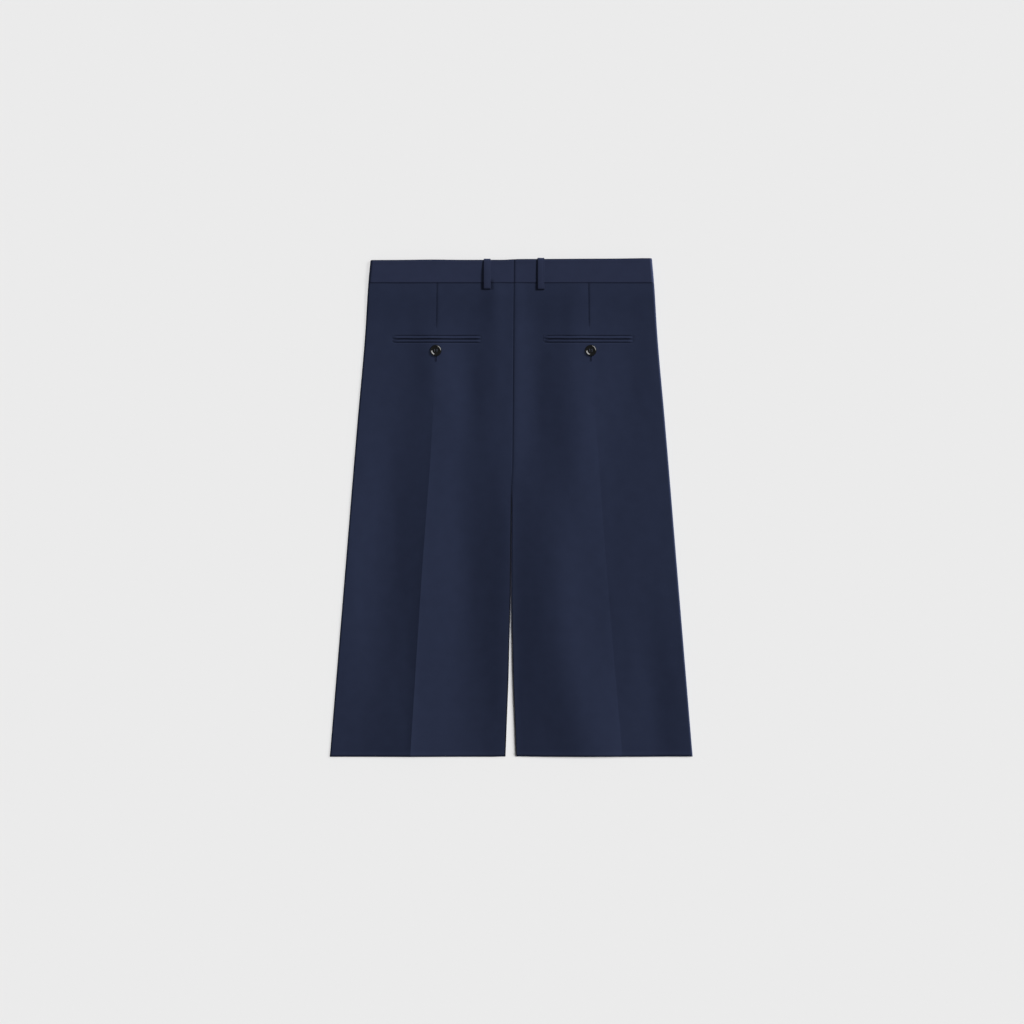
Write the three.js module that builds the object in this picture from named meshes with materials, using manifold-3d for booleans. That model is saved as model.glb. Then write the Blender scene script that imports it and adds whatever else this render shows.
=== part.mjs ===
// Tailored bermuda shorts in wool suiting, laid flat on a surface with their back uppermost.
// Millimetres. +X runs to the wearer's right, +Y towards the waist, +Z up from the surface.
// The origin is on the surface, under the middle of the garment.
// "Below" is always the distance down the garment from the waist edge.
import * as THREE from "three";
import { mergeVertices } from "three/addons/utils/BufferGeometryUtils.js";
import Module from "manifold-3d";

const wasm = await Module();
wasm.setup();

// Overall sizes
const LENGTH = 720; // waist edge to hem
const BAND_HEIGHT = 32; // height of the waistband
const CROTCH = 337; // waist edge to the fork of the legs
const CLOTH = 1.1; // wall of the leg panels
const HEM_CLOTH = 1.6; // wall where the hem is turned up inside
const HEM_TOP = 684; // where the hem's turned-up layer ends
const HEM_STEP = 2; // over this length the wall grows to the hem's
const SEAM_GAP = 0.3; // between two pieces that are sewn together
const SIDES = { left: -1, right: 1 }; // left is the wearer's left, and the photo's

// Half of the outline's width
const SIDE_LINE = [
  { below: 0, half: 203.7 },
  { below: 32, half: 206.8 },
  { below: 113, half: 212.1 },
  { below: 232, half: 222.6 },
  { below: 470, half: 242.3 },
  { below: 720, half: 263.0 },
];

// The centre back seam and, below the fork, the middle of the gap between the legs lean a little
const CENTRE_LINE = [
  { below: 0, x: 3.9 },
  { below: 337, x: 1.5 },
  { below: 720, x: -1.2 },
];

// Width of the gap between the legs
const LEG_GAP = [
  { below: 337, width: 0.3 },
  { below: 435, width: 1.6 },
  { below: 551, width: 4.0 },
  { below: 720, width: 14.9 },
];

// Height of the flattened garment, from the outside of its front to the outside of its back
const FLAT_DEPTH = [
  { below: 32, depth: 5.4 },
  { below: 180, depth: 5.0 },
  { below: 480, depth: 4.9 },
  { below: 720, depth: 4.6 },
];

// Around the fork the inner edges of the panels turn down, until back and front meet at the inseam
const FORK_START = 315;
const FORK_END = 377;

// The pressed crease down the middle of each leg, out from the centre line: the left one stands up
// and the right one is pressed flat, so that the cloth dips along it
const CREASES = {
  left: [
    { below: 32, out: 110.5, height: 0 },
    { below: 132, out: 112, height: 0 },
    { below: 247, out: 116.7, height: 0.4 },
    { below: 480, out: 131, height: 1.1 },
    { below: 720, out: 145.8, height: 1.2 },
  ],
  right: [
    { below: 32, out: 110.5, height: 0 },
    { below: 132, out: 112.5, height: 0 },
    { below: 232, out: 120, height: -0.3 },
    { below: 480, out: 141, height: -0.5 },
    { below: 720, out: 161.6, height: -0.6 },
  ],
};
const CREASE_SPREAD = 13; // how far to the side the crease lifts the cloth
const CREASE_FLANK = 3; // columns of points this near the crease keep it sharp

// The largest soft troughs (negative) and swellings of the back, by the middle of each.
// A fold that leans moves sideways by its lean for each millimetre down.
const SOFT_FOLDS = [
  { x: -168, below: 250, height: -0.7, wide: 22, long: 160, lean: -0.03 },
  { x: -107, below: 165, height: 0.8, wide: 24, long: 80, lean: 0 },
  { x: -48, below: 150, height: -0.6, wide: 18, long: 100, lean: 0 },
  { x: 36, below: 190, height: -0.6, wide: 16, long: 130, lean: 0 },
  { x: 92, below: 195, height: 0.8, wide: 26, long: 110, lean: 0 },
  { x: 176, below: 110, height: -0.5, wide: 18, long: 70, lean: 0 },
  { x: -188, below: 570, height: -0.9, wide: 24, long: 130, lean: -0.2 },
  { x: -68, below: 560, height: -0.7, wide: 22, long: 180, lean: 0 },
  { x: 66, below: 560, height: 0.9, wide: 24, long: 170, lean: 0.1 },
  { x: 207, below: 580, height: -0.6, wide: 16, long: 100, lean: 0.05 },
];
const EDGE_CALM = 16; // relief fades out over this distance from a panel's edges

// Darts run from the waistband to the pockets, in the line of the creases
const DART = { fade: 90, end: 104, deep: 0.45, wide: 1.6 };

// Waistband
const BAND_CLOTH = 2.0;
const BAND_DEPTH = 7.2; // outside to outside
const BAND_FLOOR = 1.5; // its front is held off the surface by the front belt loops
const BODY_FLOOR = 2.1; // and so is the cloth just below it
const LIFT_START = 40;
const LIFT_END = 96; // the front lies on the surface from here down
const BAND_COLUMNS = 7; // steps across each face of a half
const BAND_TURNS = 10; // steps round its side fold
const BAND_EDGES = [
  { below: 0, inset: 0.7 },
  { below: 0.8, inset: 0.2 },
  { below: 2.5, inset: 0 },
  { below: BAND_HEIGHT / 2, inset: 0 },
  { below: BAND_HEIGHT - 2, inset: 0 },
  { below: BAND_HEIGHT - SEAM_GAP / 2, inset: 0.35 },
];

// Belt loops
const LOOP = { wide: 9.5, cloth: 1.2, rise: 1.3, end: 41.6, bow: 1.3, wrap: 1.0, bevel: 0.55, steps: 9 };
const LOOPS = [
  { name: "belt_loop_back", face: 1, out: 38.6 },
  { name: "belt_loop_side", face: -1, out: 172 },
  { name: "belt_loop_front", face: -1, out: 92 },
];

// Back pockets: two welts meet at the mouth, with a button below it
const POCKET = { out: 111, mouth: 114.7, wide: 129, welt: 5.1, crown: 0.75, edge: 0.3, rows: 4, columns: 12 };
const BUTTON = { out: 112.2, below: 132, radius: 7.7, high: 3.1, clear: 0.45, sides: 20 };
const BUTTON_HOLE = { radius: 0.85, out: 1.35, sides: 8 };

// A button's outline from the middle of its underside to the middle of its dished face,
// as shares of its radius and height
const BUTTON_PROFILE = [
  { out: 0, up: 0 },
  { out: 0.62, up: 0 },
  { out: 0.93, up: 0.22 },
  { out: 1, up: 0.5 },
  { out: 0.97, up: 0.82 },
  { out: 0.88, up: 1 },
  { out: 0.78, up: 0.93 },
  { out: 0.62, up: 0.68 },
  { out: 0, up: 0.6 },
];

// Fly: the zip behind its closed edge, inside the front
const ZIP = { wide: 26, cloth: 1.2, top: 34, end: 196 };

// Steps of a leg panel's points: round its side fold, out from the crease, in from it, round its
// inner edge, and the spacing of its rows
const BACK_GRID = { fold: 4, outer: 7, inner: 9, roll: 4, spacing: 30 };
const FRONT_GRID = { fold: 4, outer: 2, inner: 2, roll: 4, spacing: 45 };

const HIGH_Y = (LENGTH + LOOP.rise) / 2 - LOOP.rise; // the waist edge
const yAt = (below) => HIGH_Y - below;

// A smooth curve through one column of a table, straight on from its ends
function curveThrough(rows, column) {
  const at = rows.map((row) => row.below);
  const value = rows.map((row) => row[column]);
  const last = rows.length - 1;
  const rise = (a, b) => (value[b] - value[a]) / (at[b] - at[a]);
  const slope = rows.map((row, i) => {
    const before = i === 0 ? rise(0, 1) : rise(i - 1, i);
    const after = i === last ? before : rise(i, i + 1);
    return before * after <= 0 ? 0 : (2 * before * after) / (before + after);
  });
  return (below) => {
    if (below <= at[0]) return value[0];
    if (below >= at[last]) return value[last];
    const i = at.findIndex((x, k) => k < last && below <= at[k + 1]);
    const span = at[i + 1] - at[i];
    const t = (below - at[i]) / span;
    return (
      value[i] * (1 + 2 * t) * (1 - t) ** 2 +
      span * slope[i] * t * (1 - t) ** 2 +
      value[i + 1] * t * t * (3 - 2 * t) +
      span * slope[i + 1] * t * t * (t - 1)
    );
  };
}

const halfWidth = curveThrough(SIDE_LINE, "half");
const centreLine = curveThrough(CENTRE_LINE, "x");
const legGap = curveThrough(LEG_GAP, "width");
const flatDepth = curveThrough(FLAT_DEPTH, "depth");
const creaseOut = {
  left: curveThrough(CREASES.left, "out"),
  right: curveThrough(CREASES.right, "out"),
};
const creaseHeight = {
  left: curveThrough(CREASES.left, "height"),
  right: curveThrough(CREASES.right, "height"),
};

const { lerp, smoothstep } = THREE.MathUtils;
const bell = (distance, wide) => Math.exp(-((distance / wide) ** 2));

// Place of a panel's edges, crease and middle height at one distance below the waist
function legSection(side, below) {
  const sign = SIDES[side];
  const radius = flatDepth(below) / 2;
  const floor = BODY_FLOOR * (1 - smoothstep(below, LIFT_START, LIFT_END));
  const turn = (Math.PI / 2) * smoothstep(below, FORK_START, FORK_END);
  const rolled = (Math.PI / 2) * radius; // length of cloth that can turn down at the inner edge
  const gap = below < CROTCH ? SEAM_GAP : Math.max(SEAM_GAP, legGap(below));
  const inner = centreLine(below) + (sign * gap) / 2;
  return {
    sign,
    radius,
    turn,
    rolled,
    middle: floor + radius,
    side: sign * halfWidth(below),
    inner,
    foldStart: sign * (halfWidth(below) - radius),
    rollStart: inner + sign * (radius * Math.sin(turn) + rolled - turn * radius),
    crease: centreLine(below) + sign * creaseOut[side](below),
  };
}

// How far the back stands above its flat level
function relief(side, x, below) {
  const s = legSection(side, below);
  const toFold = Math.abs(x - s.foldStart);
  const toRoll = Math.abs(x - s.rollStart);
  const toCrease = Math.abs(x - s.crease);
  const calm = smoothstep(toFold, 0, EDGE_CALM) * smoothstep(toRoll, 0, EDGE_CALM);
  let height = creaseHeight[side](below) * Math.exp(-toCrease / CREASE_SPREAD);
  for (const fold of SOFT_FOLDS) {
    const along = below - fold.below;
    height += fold.height * bell(x - fold.x - fold.lean * along, fold.wide) * bell(along, fold.long);
  }
  const dart = DART.deep * (1 - smoothstep(below, DART.fade, DART.end)) * bell(toCrease, DART.wide);
  return calm * height - dart;
}

// Outside of the back, for what lies on it
function backTop(x, below) {
  const side = x < centreLine(below) ? "left" : "right";
  const s = legSection(side, below);
  return s.middle + s.radius + relief(side, x, below);
}

// Points of one panel's section, from its side seam to its inner edge, with their outward directions
function panelSection(side, face, below, grid) {
  const s = legSection(side, below);
  const points = [];
  const add = (x, z, nx, nz) => points.push({ x, z, nx, nz });
  const seamAngle = SEAM_GAP / 2 / s.radius;
  for (let i = 0; i <= grid.fold; i++) {
    const angle = lerp(seamAngle, Math.PI / 2, i / grid.fold);
    add(
      s.side - s.sign * s.radius * (1 - Math.cos(angle)),
      s.middle + face * s.radius * Math.sin(angle),
      s.sign * Math.cos(angle),
      face * Math.sin(angle),
    );
  }
  const outerFlank = s.crease + s.sign * CREASE_FLANK;
  const innerFlank = s.crease - s.sign * CREASE_FLANK;
  const across = [
    ...between(s.foldStart, outerFlank, grid.outer),
    s.crease,
    innerFlank,
    ...between(innerFlank, s.rollStart, grid.inner),
  ];
  for (const x of across) {
    const lifted = face > 0 ? relief(side, x, below) : 0;
    add(x, s.middle + face * s.radius + lifted, 0, face);
  }
  const straight = s.rolled - s.turn * s.radius;
  const inseamAngle = seamAngle * smoothstep(s.turn, 0, Math.PI / 2);
  for (let i = 1; i <= grid.roll; i++) {
    const along = (s.rolled * i) / grid.roll;
    const angle = Math.max(0, (along - straight) / s.radius - (i === grid.roll ? inseamAngle : 0));
    const flat = Math.min(along, straight);
    add(
      s.rollStart - s.sign * (flat + s.radius * Math.sin(angle)),
      s.middle + face * s.radius * Math.cos(angle),
      -s.sign * Math.sin(angle),
      face * Math.cos(angle),
    );
  }
  return points;
}

// Even steps from just after one value to another
function between(from, to, steps) {
  return Array.from({ length: steps }, (unused, i) => lerp(from, to, (i + 1) / steps));
}

// Distances below the waist at which a leg panel has a row of points, closer where it bends more
function panelRows(spacing) {
  const rows = [BAND_HEIGHT + SEAM_GAP / 2];
  const stretches = [
    { to: LIFT_END, step: spacing / 2 },
    { to: FORK_START, step: spacing },
    { to: FORK_END, step: spacing / 2.5 },
    { to: HEM_TOP, step: spacing * 1.2 },
    { to: HEM_TOP + HEM_STEP, step: HEM_STEP },
    { to: LENGTH, step: spacing },
  ];
  for (const { to, step } of stretches) {
    const from = rows[rows.length - 1];
    rows.push(...between(from, to, Math.max(1, Math.round((to - from) / step))));
  }
  return rows;
}

// A closed wall from a grid of outer points and a grid of inner ones
function wall(outer, inner) {
  const rows = outer.length;
  const columns = outer[0].length;
  const positions = [...outer.flat(), ...inner.flat()].flatMap((p) => [p.x, p.y, p.z]);
  const out = (j, i) => j * columns + i;
  const into = (j, i) => rows * columns + j * columns + i;
  const index = [];
  const quad = (a, b, c, d) => index.push(a, b, c, a, c, d);
  for (let j = 0; j < rows - 1; j++) {
    for (let i = 0; i < columns - 1; i++) {
      quad(out(j, i), out(j, i + 1), out(j + 1, i + 1), out(j + 1, i));
      quad(into(j, i), into(j + 1, i), into(j + 1, i + 1), into(j, i + 1));
    }
    quad(out(j, 0), out(j + 1, 0), into(j + 1, 0), into(j, 0));
    quad(out(j + 1, columns - 1), out(j, columns - 1), into(j, columns - 1), into(j + 1, columns - 1));
  }
  for (let i = 0; i < columns - 1; i++) {
    quad(out(0, i + 1), out(0, i), into(0, i), into(0, i + 1));
    quad(out(rows - 1, i), out(rows - 1, i + 1), into(rows - 1, i + 1), into(rows - 1, i));
  }
  const geometry = new THREE.BufferGeometry();
  geometry.setAttribute("position", new THREE.Float32BufferAttribute(positions, 3));
  geometry.setIndex(index);
  return facingOut(geometry);
}

// The same closed surface with its faces turned to point outwards
function facingOut(geometry) {
  const p = geometry.getAttribute("position");
  const index = geometry.getIndex().array;
  const corner = (k) => new THREE.Vector3().fromBufferAttribute(p, index[k]);
  let volume = 0;
  for (let k = 0; k < index.length; k += 3) {
    volume += corner(k).dot(corner(k + 1).cross(corner(k + 2)));
  }
  if (volume < 0) {
    for (let k = 0; k < index.length; k += 3) {
      const second = index[k + 1];
      index[k + 1] = index[k + 2];
      index[k + 2] = second;
    }
  }
  geometry.computeVertexNormals();
  return geometry;
}

const finish = (color, roughness) => new THREE.MeshStandardMaterial({ color, roughness, metalness: 0 });
const CLOTH_FINISH = finish(0x262b3f, 0.86);
const BAND_FINISH = finish(0x292e44, 0.84);
const TAPE_FINISH = finish(0x1c2030, 0.8);
const BUTTON_FINISH = finish(0x0d0c0b, 0.22);

function piece(name, geometry, material) {
  const mesh = new THREE.Mesh(geometry, material);
  mesh.name = name;
  return mesh;
}

// A leg panel: face 1 is the back, on top, and -1 the front, against the surface
function legPanel(side, face, grid) {
  const outer = [];
  const inner = [];
  for (const below of panelRows(grid.spacing)) {
    const cloth = below > HEM_TOP ? HEM_CLOTH : CLOTH;
    const middle = legSection(side, below).middle;
    const inside = (p) => {
      const height = Math.max(face * (p.z - p.nz * cloth - middle), SEAM_GAP / 2);
      return new THREE.Vector3(p.x - p.nx * cloth, yAt(below), middle + face * height);
    };
    const section = panelSection(side, face, below, grid);
    outer.push(section.map((p) => new THREE.Vector3(p.x, yAt(below), p.z)));
    inner.push(section.map(inside));
  }
  return wall(outer, inner);
}

// Half of the waistband: from the centre back seam, round the side, to the centre front
function waistbandHalf(side) {
  const sign = SIDES[side];
  const radius = BAND_DEPTH / 2;
  const middle = BAND_FLOOR + radius;
  const outer = [];
  const inner = [];
  for (const { below, inset } of BAND_EDGES) {
    const centre = centreLine(below) + (sign * SEAM_GAP) / 2;
    const fold = sign * (halfWidth(below) - radius);
    const straight = [centre, ...between(centre, fold, BAND_COLUMNS)];
    const section = straight.map((x) => ({ x, z: middle + radius, nx: 0, nz: 1 }));
    for (const angle of between(Math.PI / 2, -Math.PI / 2, BAND_TURNS).slice(0, -1)) {
      const nx = sign * Math.cos(angle);
      const nz = Math.sin(angle);
      section.push({ x: fold + radius * nx, z: middle + radius * nz, nx, nz });
    }
    section.push(...straight.reverse().map((x) => ({ x, z: middle - radius, nx: 0, nz: -1 })));
    const moved = (p, by) => new THREE.Vector3(p.x - p.nx * by, yAt(below), p.z - p.nz * by);
    outer.push(section.map((p) => moved(p, inset)));
    inner.push(section.map((p) => moved(p, BAND_CLOTH)));
  }
  return wall(outer, inner);
}

// The face that a belt loop lies over: on the back, the band and then the cloth below it. The front
// loops stay level, because the garment rests on them.
function underLoop(face, x, below) {
  if (face < 0) return BAND_FLOOR;
  return below < BAND_HEIGHT + 1 ? BAND_FLOOR + BAND_DEPTH : backTop(x, below);
}

// A belt loop: a strip sewn below the band, laid up over it and tucked in over the waist edge
function beltLoop(face, x) {
  const near = [];
  const far = [];
  for (let i = 0; i <= LOOP.steps; i++) {
    const below = (LOOP.end * i) / LOOP.steps;
    const bow = face > 0 ? LOOP.bow * Math.sin((Math.PI * i) / LOOP.steps) : 0;
    const z = underLoop(face, x, below) + face * (SEAM_GAP + bow);
    near.push(new THREE.Vector2(yAt(below), z));
    far.push(new THREE.Vector2(yAt(below), z + face * LOOP.cloth));
  }
  const edge = yAt(-SEAM_GAP);
  const tip = yAt(-LOOP.rise);
  const tuck = BAND_FLOOR + BAND_DEPTH / 2 + face * LOOP.wrap;
  const shape = new THREE.Shape([
    new THREE.Vector2(edge, tuck),
    new THREE.Vector2(edge, near[0].y),
    ...near.slice(1),
    ...far.slice().reverse(),
    new THREE.Vector2(tip, far[0].y - face * LOOP.bevel),
    new THREE.Vector2(tip, tuck),
  ]);
  const strip = new THREE.ExtrudeGeometry(shape, { depth: LOOP.wide, bevelEnabled: false });
  const alongX = new THREE.Matrix4().makeBasis(
    new THREE.Vector3(0, 1, 0),
    new THREE.Vector3(0, 0, 1),
    new THREE.Vector3(1, 0, 0),
  );
  return strip.applyMatrix4(alongX).translate(-LOOP.wide / 2, 0, 0);
}

// One welt of a pocket mouth, laid on the back: level is -1 above the mouth and 1 below it
function pocketWelt(side, level) {
  const first = POCKET.mouth + (level * SEAM_GAP) / 2;
  const last = first + level * POCKET.welt;
  const outer = [];
  const inner = [];
  for (let j = 0; j <= POCKET.rows; j++) {
    const below = lerp(first, last, j / POCKET.rows);
    const high = POCKET.edge + POCKET.crown * Math.sin((Math.PI * j) / POCKET.rows);
    const start = centreLine(below) + SIDES[side] * POCKET.out - POCKET.wide / 2;
    const xs = [start, ...between(start, start + POCKET.wide, POCKET.columns)];
    const pointsAt = (lift) => xs.map((x) => new THREE.Vector3(x, yAt(below), backTop(x, below) + lift));
    outer.push(pointsAt(SEAM_GAP + high));
    inner.push(pointsAt(SEAM_GAP));
  }
  return wall(outer, inner);
}

// A closed geometry as a solid that can be cut
function solidOf(geometry) {
  const bare = geometry.clone();
  bare.deleteAttribute("normal");
  bare.deleteAttribute("uv");
  const merged = mergeVertices(bare, 1e-4);
  const index = merged.getIndex().array;
  const kept = [];
  for (let k = 0; k < index.length; k += 3) {
    const [a, b, c] = index.slice(k, k + 3);
    if (a !== b && b !== c && c !== a) kept.push(a, b, c);
  }
  const mesh = new wasm.Mesh({
    numProp: 3,
    vertProperties: merged.getAttribute("position").array,
    triVerts: new Uint32Array(kept),
  });
  return new wasm.Manifold(mesh);
}

function geometryOf(solid) {
  const mesh = solid.getMesh();
  const geometry = new THREE.BufferGeometry();
  geometry.setAttribute("position", new THREE.BufferAttribute(mesh.vertProperties, 3));
  geometry.setIndex(new THREE.BufferAttribute(mesh.triVerts, 1));
  geometry.computeVertexNormals();
  return geometry;
}

// A four-hole button with a rim round a dished face
function buttonGeometry() {
  const { radius, high } = BUTTON;
  const profile = BUTTON_PROFILE.map(({ out, up }) => new THREE.Vector2(out * radius, up * high));
  let solid = solidOf(new THREE.LatheGeometry(profile, BUTTON.sides).rotateX(Math.PI / 2));
  for (const [across, along] of [[-1, -1], [-1, 1], [1, -1], [1, 1]]) {
    const hole = BUTTON_HOLE;
    const drill = new THREE.CylinderGeometry(hole.radius, hole.radius, 3 * high, hole.sides);
    drill.rotateX(Math.PI / 2).translate(across * hole.out, along * hole.out, 0);
    solid = solid.subtract(solidOf(drill));
  }
  return geometryOf(solid);
}

// The closed zip, a flat strip inside the front, behind the fly's edge
function zipStrip() {
  const outer = [];
  const inner = [];
  const rows = panelRows(FRONT_GRID.spacing).filter((row) => row > ZIP.top && row < ZIP.end);
  for (const below of [ZIP.top, ...rows, ZIP.end]) {
    const s = legSection("left", below);
    const floor = s.middle - s.radius + CLOTH + SEAM_GAP;
    const xs = [-ZIP.wide / 2, ZIP.wide / 2].map((out) => centreLine(below) + out);
    outer.push(xs.map((x) => new THREE.Vector3(x, yAt(below), floor + ZIP.cloth)));
    inner.push(xs.map((x) => new THREE.Vector3(x, yAt(below), floor)));
  }
  return wall(outer, inner);
}

const shorts = new THREE.Group();
for (const side of Object.keys(SIDES)) {
  const sign = SIDES[side];
  const leg = new THREE.Group();
  leg.add(piece(`back_${side}`, legPanel(side, 1, BACK_GRID), CLOTH_FINISH.clone()));
  leg.add(piece(`front_${side}`, legPanel(side, -1, FRONT_GRID), CLOTH_FINISH.clone()));

  const waist = new THREE.Group();
  waist.add(piece(`waistband_${side}`, waistbandHalf(side), BAND_FINISH.clone()));
  for (const { name, face, out } of LOOPS) {
    const x = centreLine(BAND_HEIGHT / 2) + sign * out;
    const loop = piece(`${name}_${side}`, beltLoop(face, x), BAND_FINISH.clone());
    loop.position.x = x;
    waist.add(loop);
  }

  const pocket = new THREE.Group();
  pocket.add(piece(`pocket_welt_upper_${side}`, pocketWelt(side, -1), CLOTH_FINISH.clone()));
  pocket.add(piece(`pocket_welt_lower_${side}`, pocketWelt(side, 1), CLOTH_FINISH.clone()));
  const button = piece(`pocket_button_${side}`, buttonGeometry(), BUTTON_FINISH.clone());
  const buttonX = centreLine(BUTTON.below) + sign * BUTTON.out;
  button.position.set(buttonX, yAt(BUTTON.below), backTop(buttonX, BUTTON.below) + BUTTON.clear);
  pocket.add(button);

  shorts.add(leg, waist, pocket);
}
shorts.add(piece("fly_zip", zipStrip(), TAPE_FINISH));

export default shorts;
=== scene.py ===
"""Looks of tailored wool bermuda shorts, laid flat on a pale floor with their back uppermost.

Sizes are in millimetres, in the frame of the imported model: +X to the wearer's right, +Y towards the
waist and +Z up from the floor. "Below" is the distance down the garment from the waist edge.
"""

from __future__ import annotations

import logging
import math
from collections.abc import Sequence
from dataclasses import dataclass, field
from enum import Enum

import bpy
import numpy as np
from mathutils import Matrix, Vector


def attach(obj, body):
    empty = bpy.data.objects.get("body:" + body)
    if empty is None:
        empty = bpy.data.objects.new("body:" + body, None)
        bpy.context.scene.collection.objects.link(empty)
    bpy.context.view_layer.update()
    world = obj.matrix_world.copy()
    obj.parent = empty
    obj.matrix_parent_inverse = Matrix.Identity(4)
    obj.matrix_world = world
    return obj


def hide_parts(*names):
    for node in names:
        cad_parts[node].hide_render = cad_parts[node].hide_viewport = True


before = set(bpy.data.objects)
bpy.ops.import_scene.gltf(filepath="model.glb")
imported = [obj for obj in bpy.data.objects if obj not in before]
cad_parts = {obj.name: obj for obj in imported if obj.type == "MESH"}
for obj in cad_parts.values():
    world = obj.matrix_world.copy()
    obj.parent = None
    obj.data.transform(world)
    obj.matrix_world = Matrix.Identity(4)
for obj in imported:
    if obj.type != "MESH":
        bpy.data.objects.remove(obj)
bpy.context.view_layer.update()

log = logging.getLogger("shorts")
MM = 0.001

Color = tuple[float, float, float]
Piece = bpy.types.Object
Material = bpy.types.Material
Socket = bpy.types.NodeSocket


class Side(Enum):
    """Half of the garment, as the wearer has it and as it lies in the photo."""

    LEFT = -1
    RIGHT = 1

    @property
    def word(self) -> str:
        """The side's word in the names of nodes and pieces."""
        return self.name.lower()


class Face(Enum):
    """Which way a panel faces: the back lies on top, the front against the floor."""

    BACK = 1
    FRONT = -1


class Curve:
    """A smooth curve through rows of a table, with no overshoot between them."""

    FLAT = 1e-12

    def __init__(self, *rows: tuple[float, float]) -> None:
        """Works out the slopes.

        Args:
            rows: Pairs of distance below the waist and value, from the waist down.
        """
        self.at = np.array([row[0] for row in rows], float)
        self.value = np.array([row[1] for row in rows], float)
        rise = np.diff(self.value) / np.diff(self.at)
        before = np.concatenate([rise[:1], rise])
        after = np.concatenate([rise, rise[-1:]])
        total = np.where(np.abs(before + after) < self.FLAT, 1.0, before + after)
        self.slope = np.where(before * after <= 0, 0.0, 2 * before * after / total)

    def __call__(self, below: float) -> float:
        """The value at one distance below the waist."""
        if below <= self.at[0]:
            return float(self.value[0])
        if below >= self.at[-1]:
            return float(self.value[-1])
        i = int(np.searchsorted(self.at, below)) - 1
        span = self.at[i + 1] - self.at[i]
        t = (below - self.at[i]) / span
        return float(
            self.value[i] * (1 + 2 * t) * (1 - t) ** 2
            + span * self.slope[i] * t * (1 - t) ** 2
            + self.value[i + 1] * t * t * (3 - 2 * t)
            + span * self.slope[i + 1] * t * t * (t - 1)
        )

    def along(self, places: np.ndarray) -> np.ndarray:
        """The values at several places."""
        return np.array([self(float(at)) for at in places])


def smoothstep(value: np.ndarray | float, low: float, high: float) -> np.ndarray | float:
    """Goes softly from 0 at low to 1 at high.

    Args:
        value: Where to read it.
        low: The value at which it leaves 0.
        high: The value at which it reaches 1.

    Returns:
        The share, in the form that value has.
    """
    t = np.clip((value - low) / (high - low), 0.0, 1.0)
    return t * t * (3 - 2 * t)


def bell(distance: np.ndarray | float, wide: float) -> np.ndarray | float:
    """A bell of height 1 that falls to about a third at its width."""
    return np.exp(-((distance / wide) ** 2))


def by_side(left: object, right: object) -> dict[Side, object]:
    """A dataclass field that holds one value for each side."""
    return field(default_factory=lambda: {Side.LEFT: left, Side.RIGHT: right})


def spread(
    stops: Sequence[tuple[float, float]], step: float, finest: int = 7, grow: float = 0.35
) -> np.ndarray:
    """Places along a line, closer together round chosen stops.

    Args:
        stops: Pairs of place and half width of the fine zone round it, in rising order.
        step: The widest spacing.
        finest: How many times closer the places are in the fine zones.
        grow: How fast the spacing grows with the distance from a fine zone.

    Returns:
        The places in rising order, from the first stop to the last.
    """
    fine = step / finest
    low, high = stops[0][0], stops[-1][0]
    places = [low]
    while places[-1] < high - fine / 2:
        here = places[-1]
        near = min(max(0.0, abs(here + fine - place) - reach) for place, reach in stops)
        places.append(min(high, here + min(step, fine + grow * near)))
    places[-1] = high
    return np.array(places)


def run(x: np.ndarray, z: np.ndarray) -> np.ndarray:
    """Length of a line from its first point to each of its points."""
    return np.concatenate([[0], np.cumsum(np.hypot(np.diff(x), np.diff(z)))])


def grid_row(*coordinates: np.ndarray | float) -> np.ndarray:
    """One row of points or of places on the cloth, from its coordinates."""
    return np.stack(np.broadcast_arrays(*coordinates), axis=-1)


def unit(steps: np.ndarray) -> np.ndarray:
    """Rows of vectors brought to a length of 1."""
    return steps / np.linalg.norm(steps, axis=1, keepdims=True)


@dataclass(frozen=True)
class SoftFold:
    """One soft trough (negative height) or swelling of the back, by its middle."""

    x: float
    below: float
    height: float
    wide: float
    long: float
    lean: float = 0.0

    def rise(self, x: np.ndarray, below: float) -> np.ndarray:
        """How much it lifts the cloth at the places x of one row."""
        along = below - self.below
        return self.height * bell(x - self.x - self.lean * along, self.wide) * bell(along, self.long)


class ClothGrain:
    """Fine unevenness of laid cloth: smooth noise of one wavelength, the same in every run."""

    CELLS = 64
    START = (31.5, 1.5)

    def __init__(self, seed: int, wide: float, long: float) -> None:
        """Draws the noise.

        Args:
            seed: Seed of the draw.
            wide: Wavelength across the garment.
            long: Wavelength down the garment.
        """
        self.wide = wide
        self.long = long
        self.draw = np.random.default_rng(seed).uniform(-1, 1, (self.CELLS, self.CELLS))

    def __call__(self, x: np.ndarray, below: float) -> np.ndarray:
        """The noise from -1 to 1 at the places x of one row."""
        u = x / self.wide + self.START[0]
        v = below / self.long + self.START[1]
        i = np.floor(u).astype(int) % (self.CELLS - 1)
        j = int(math.floor(v)) % (self.CELLS - 1)
        s = smoothstep(u - np.floor(u), 0, 1)
        t = smoothstep(v - math.floor(v), 0, 1)
        top = self.draw[j, i] * (1 - s) + self.draw[j, i + 1] * s
        bottom = self.draw[j + 1, i] * (1 - s) + self.draw[j + 1, i + 1] * s
        return top * (1 - t) + bottom * t


@dataclass(frozen=True)
class Section:
    """Edges, crease and middle height of one leg at one distance below the waist."""

    sign: int
    radius: float
    turn: float
    rolled: float
    middle: float
    side: float
    inner: float
    fold_start: float
    roll_start: float
    crease: float


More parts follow.
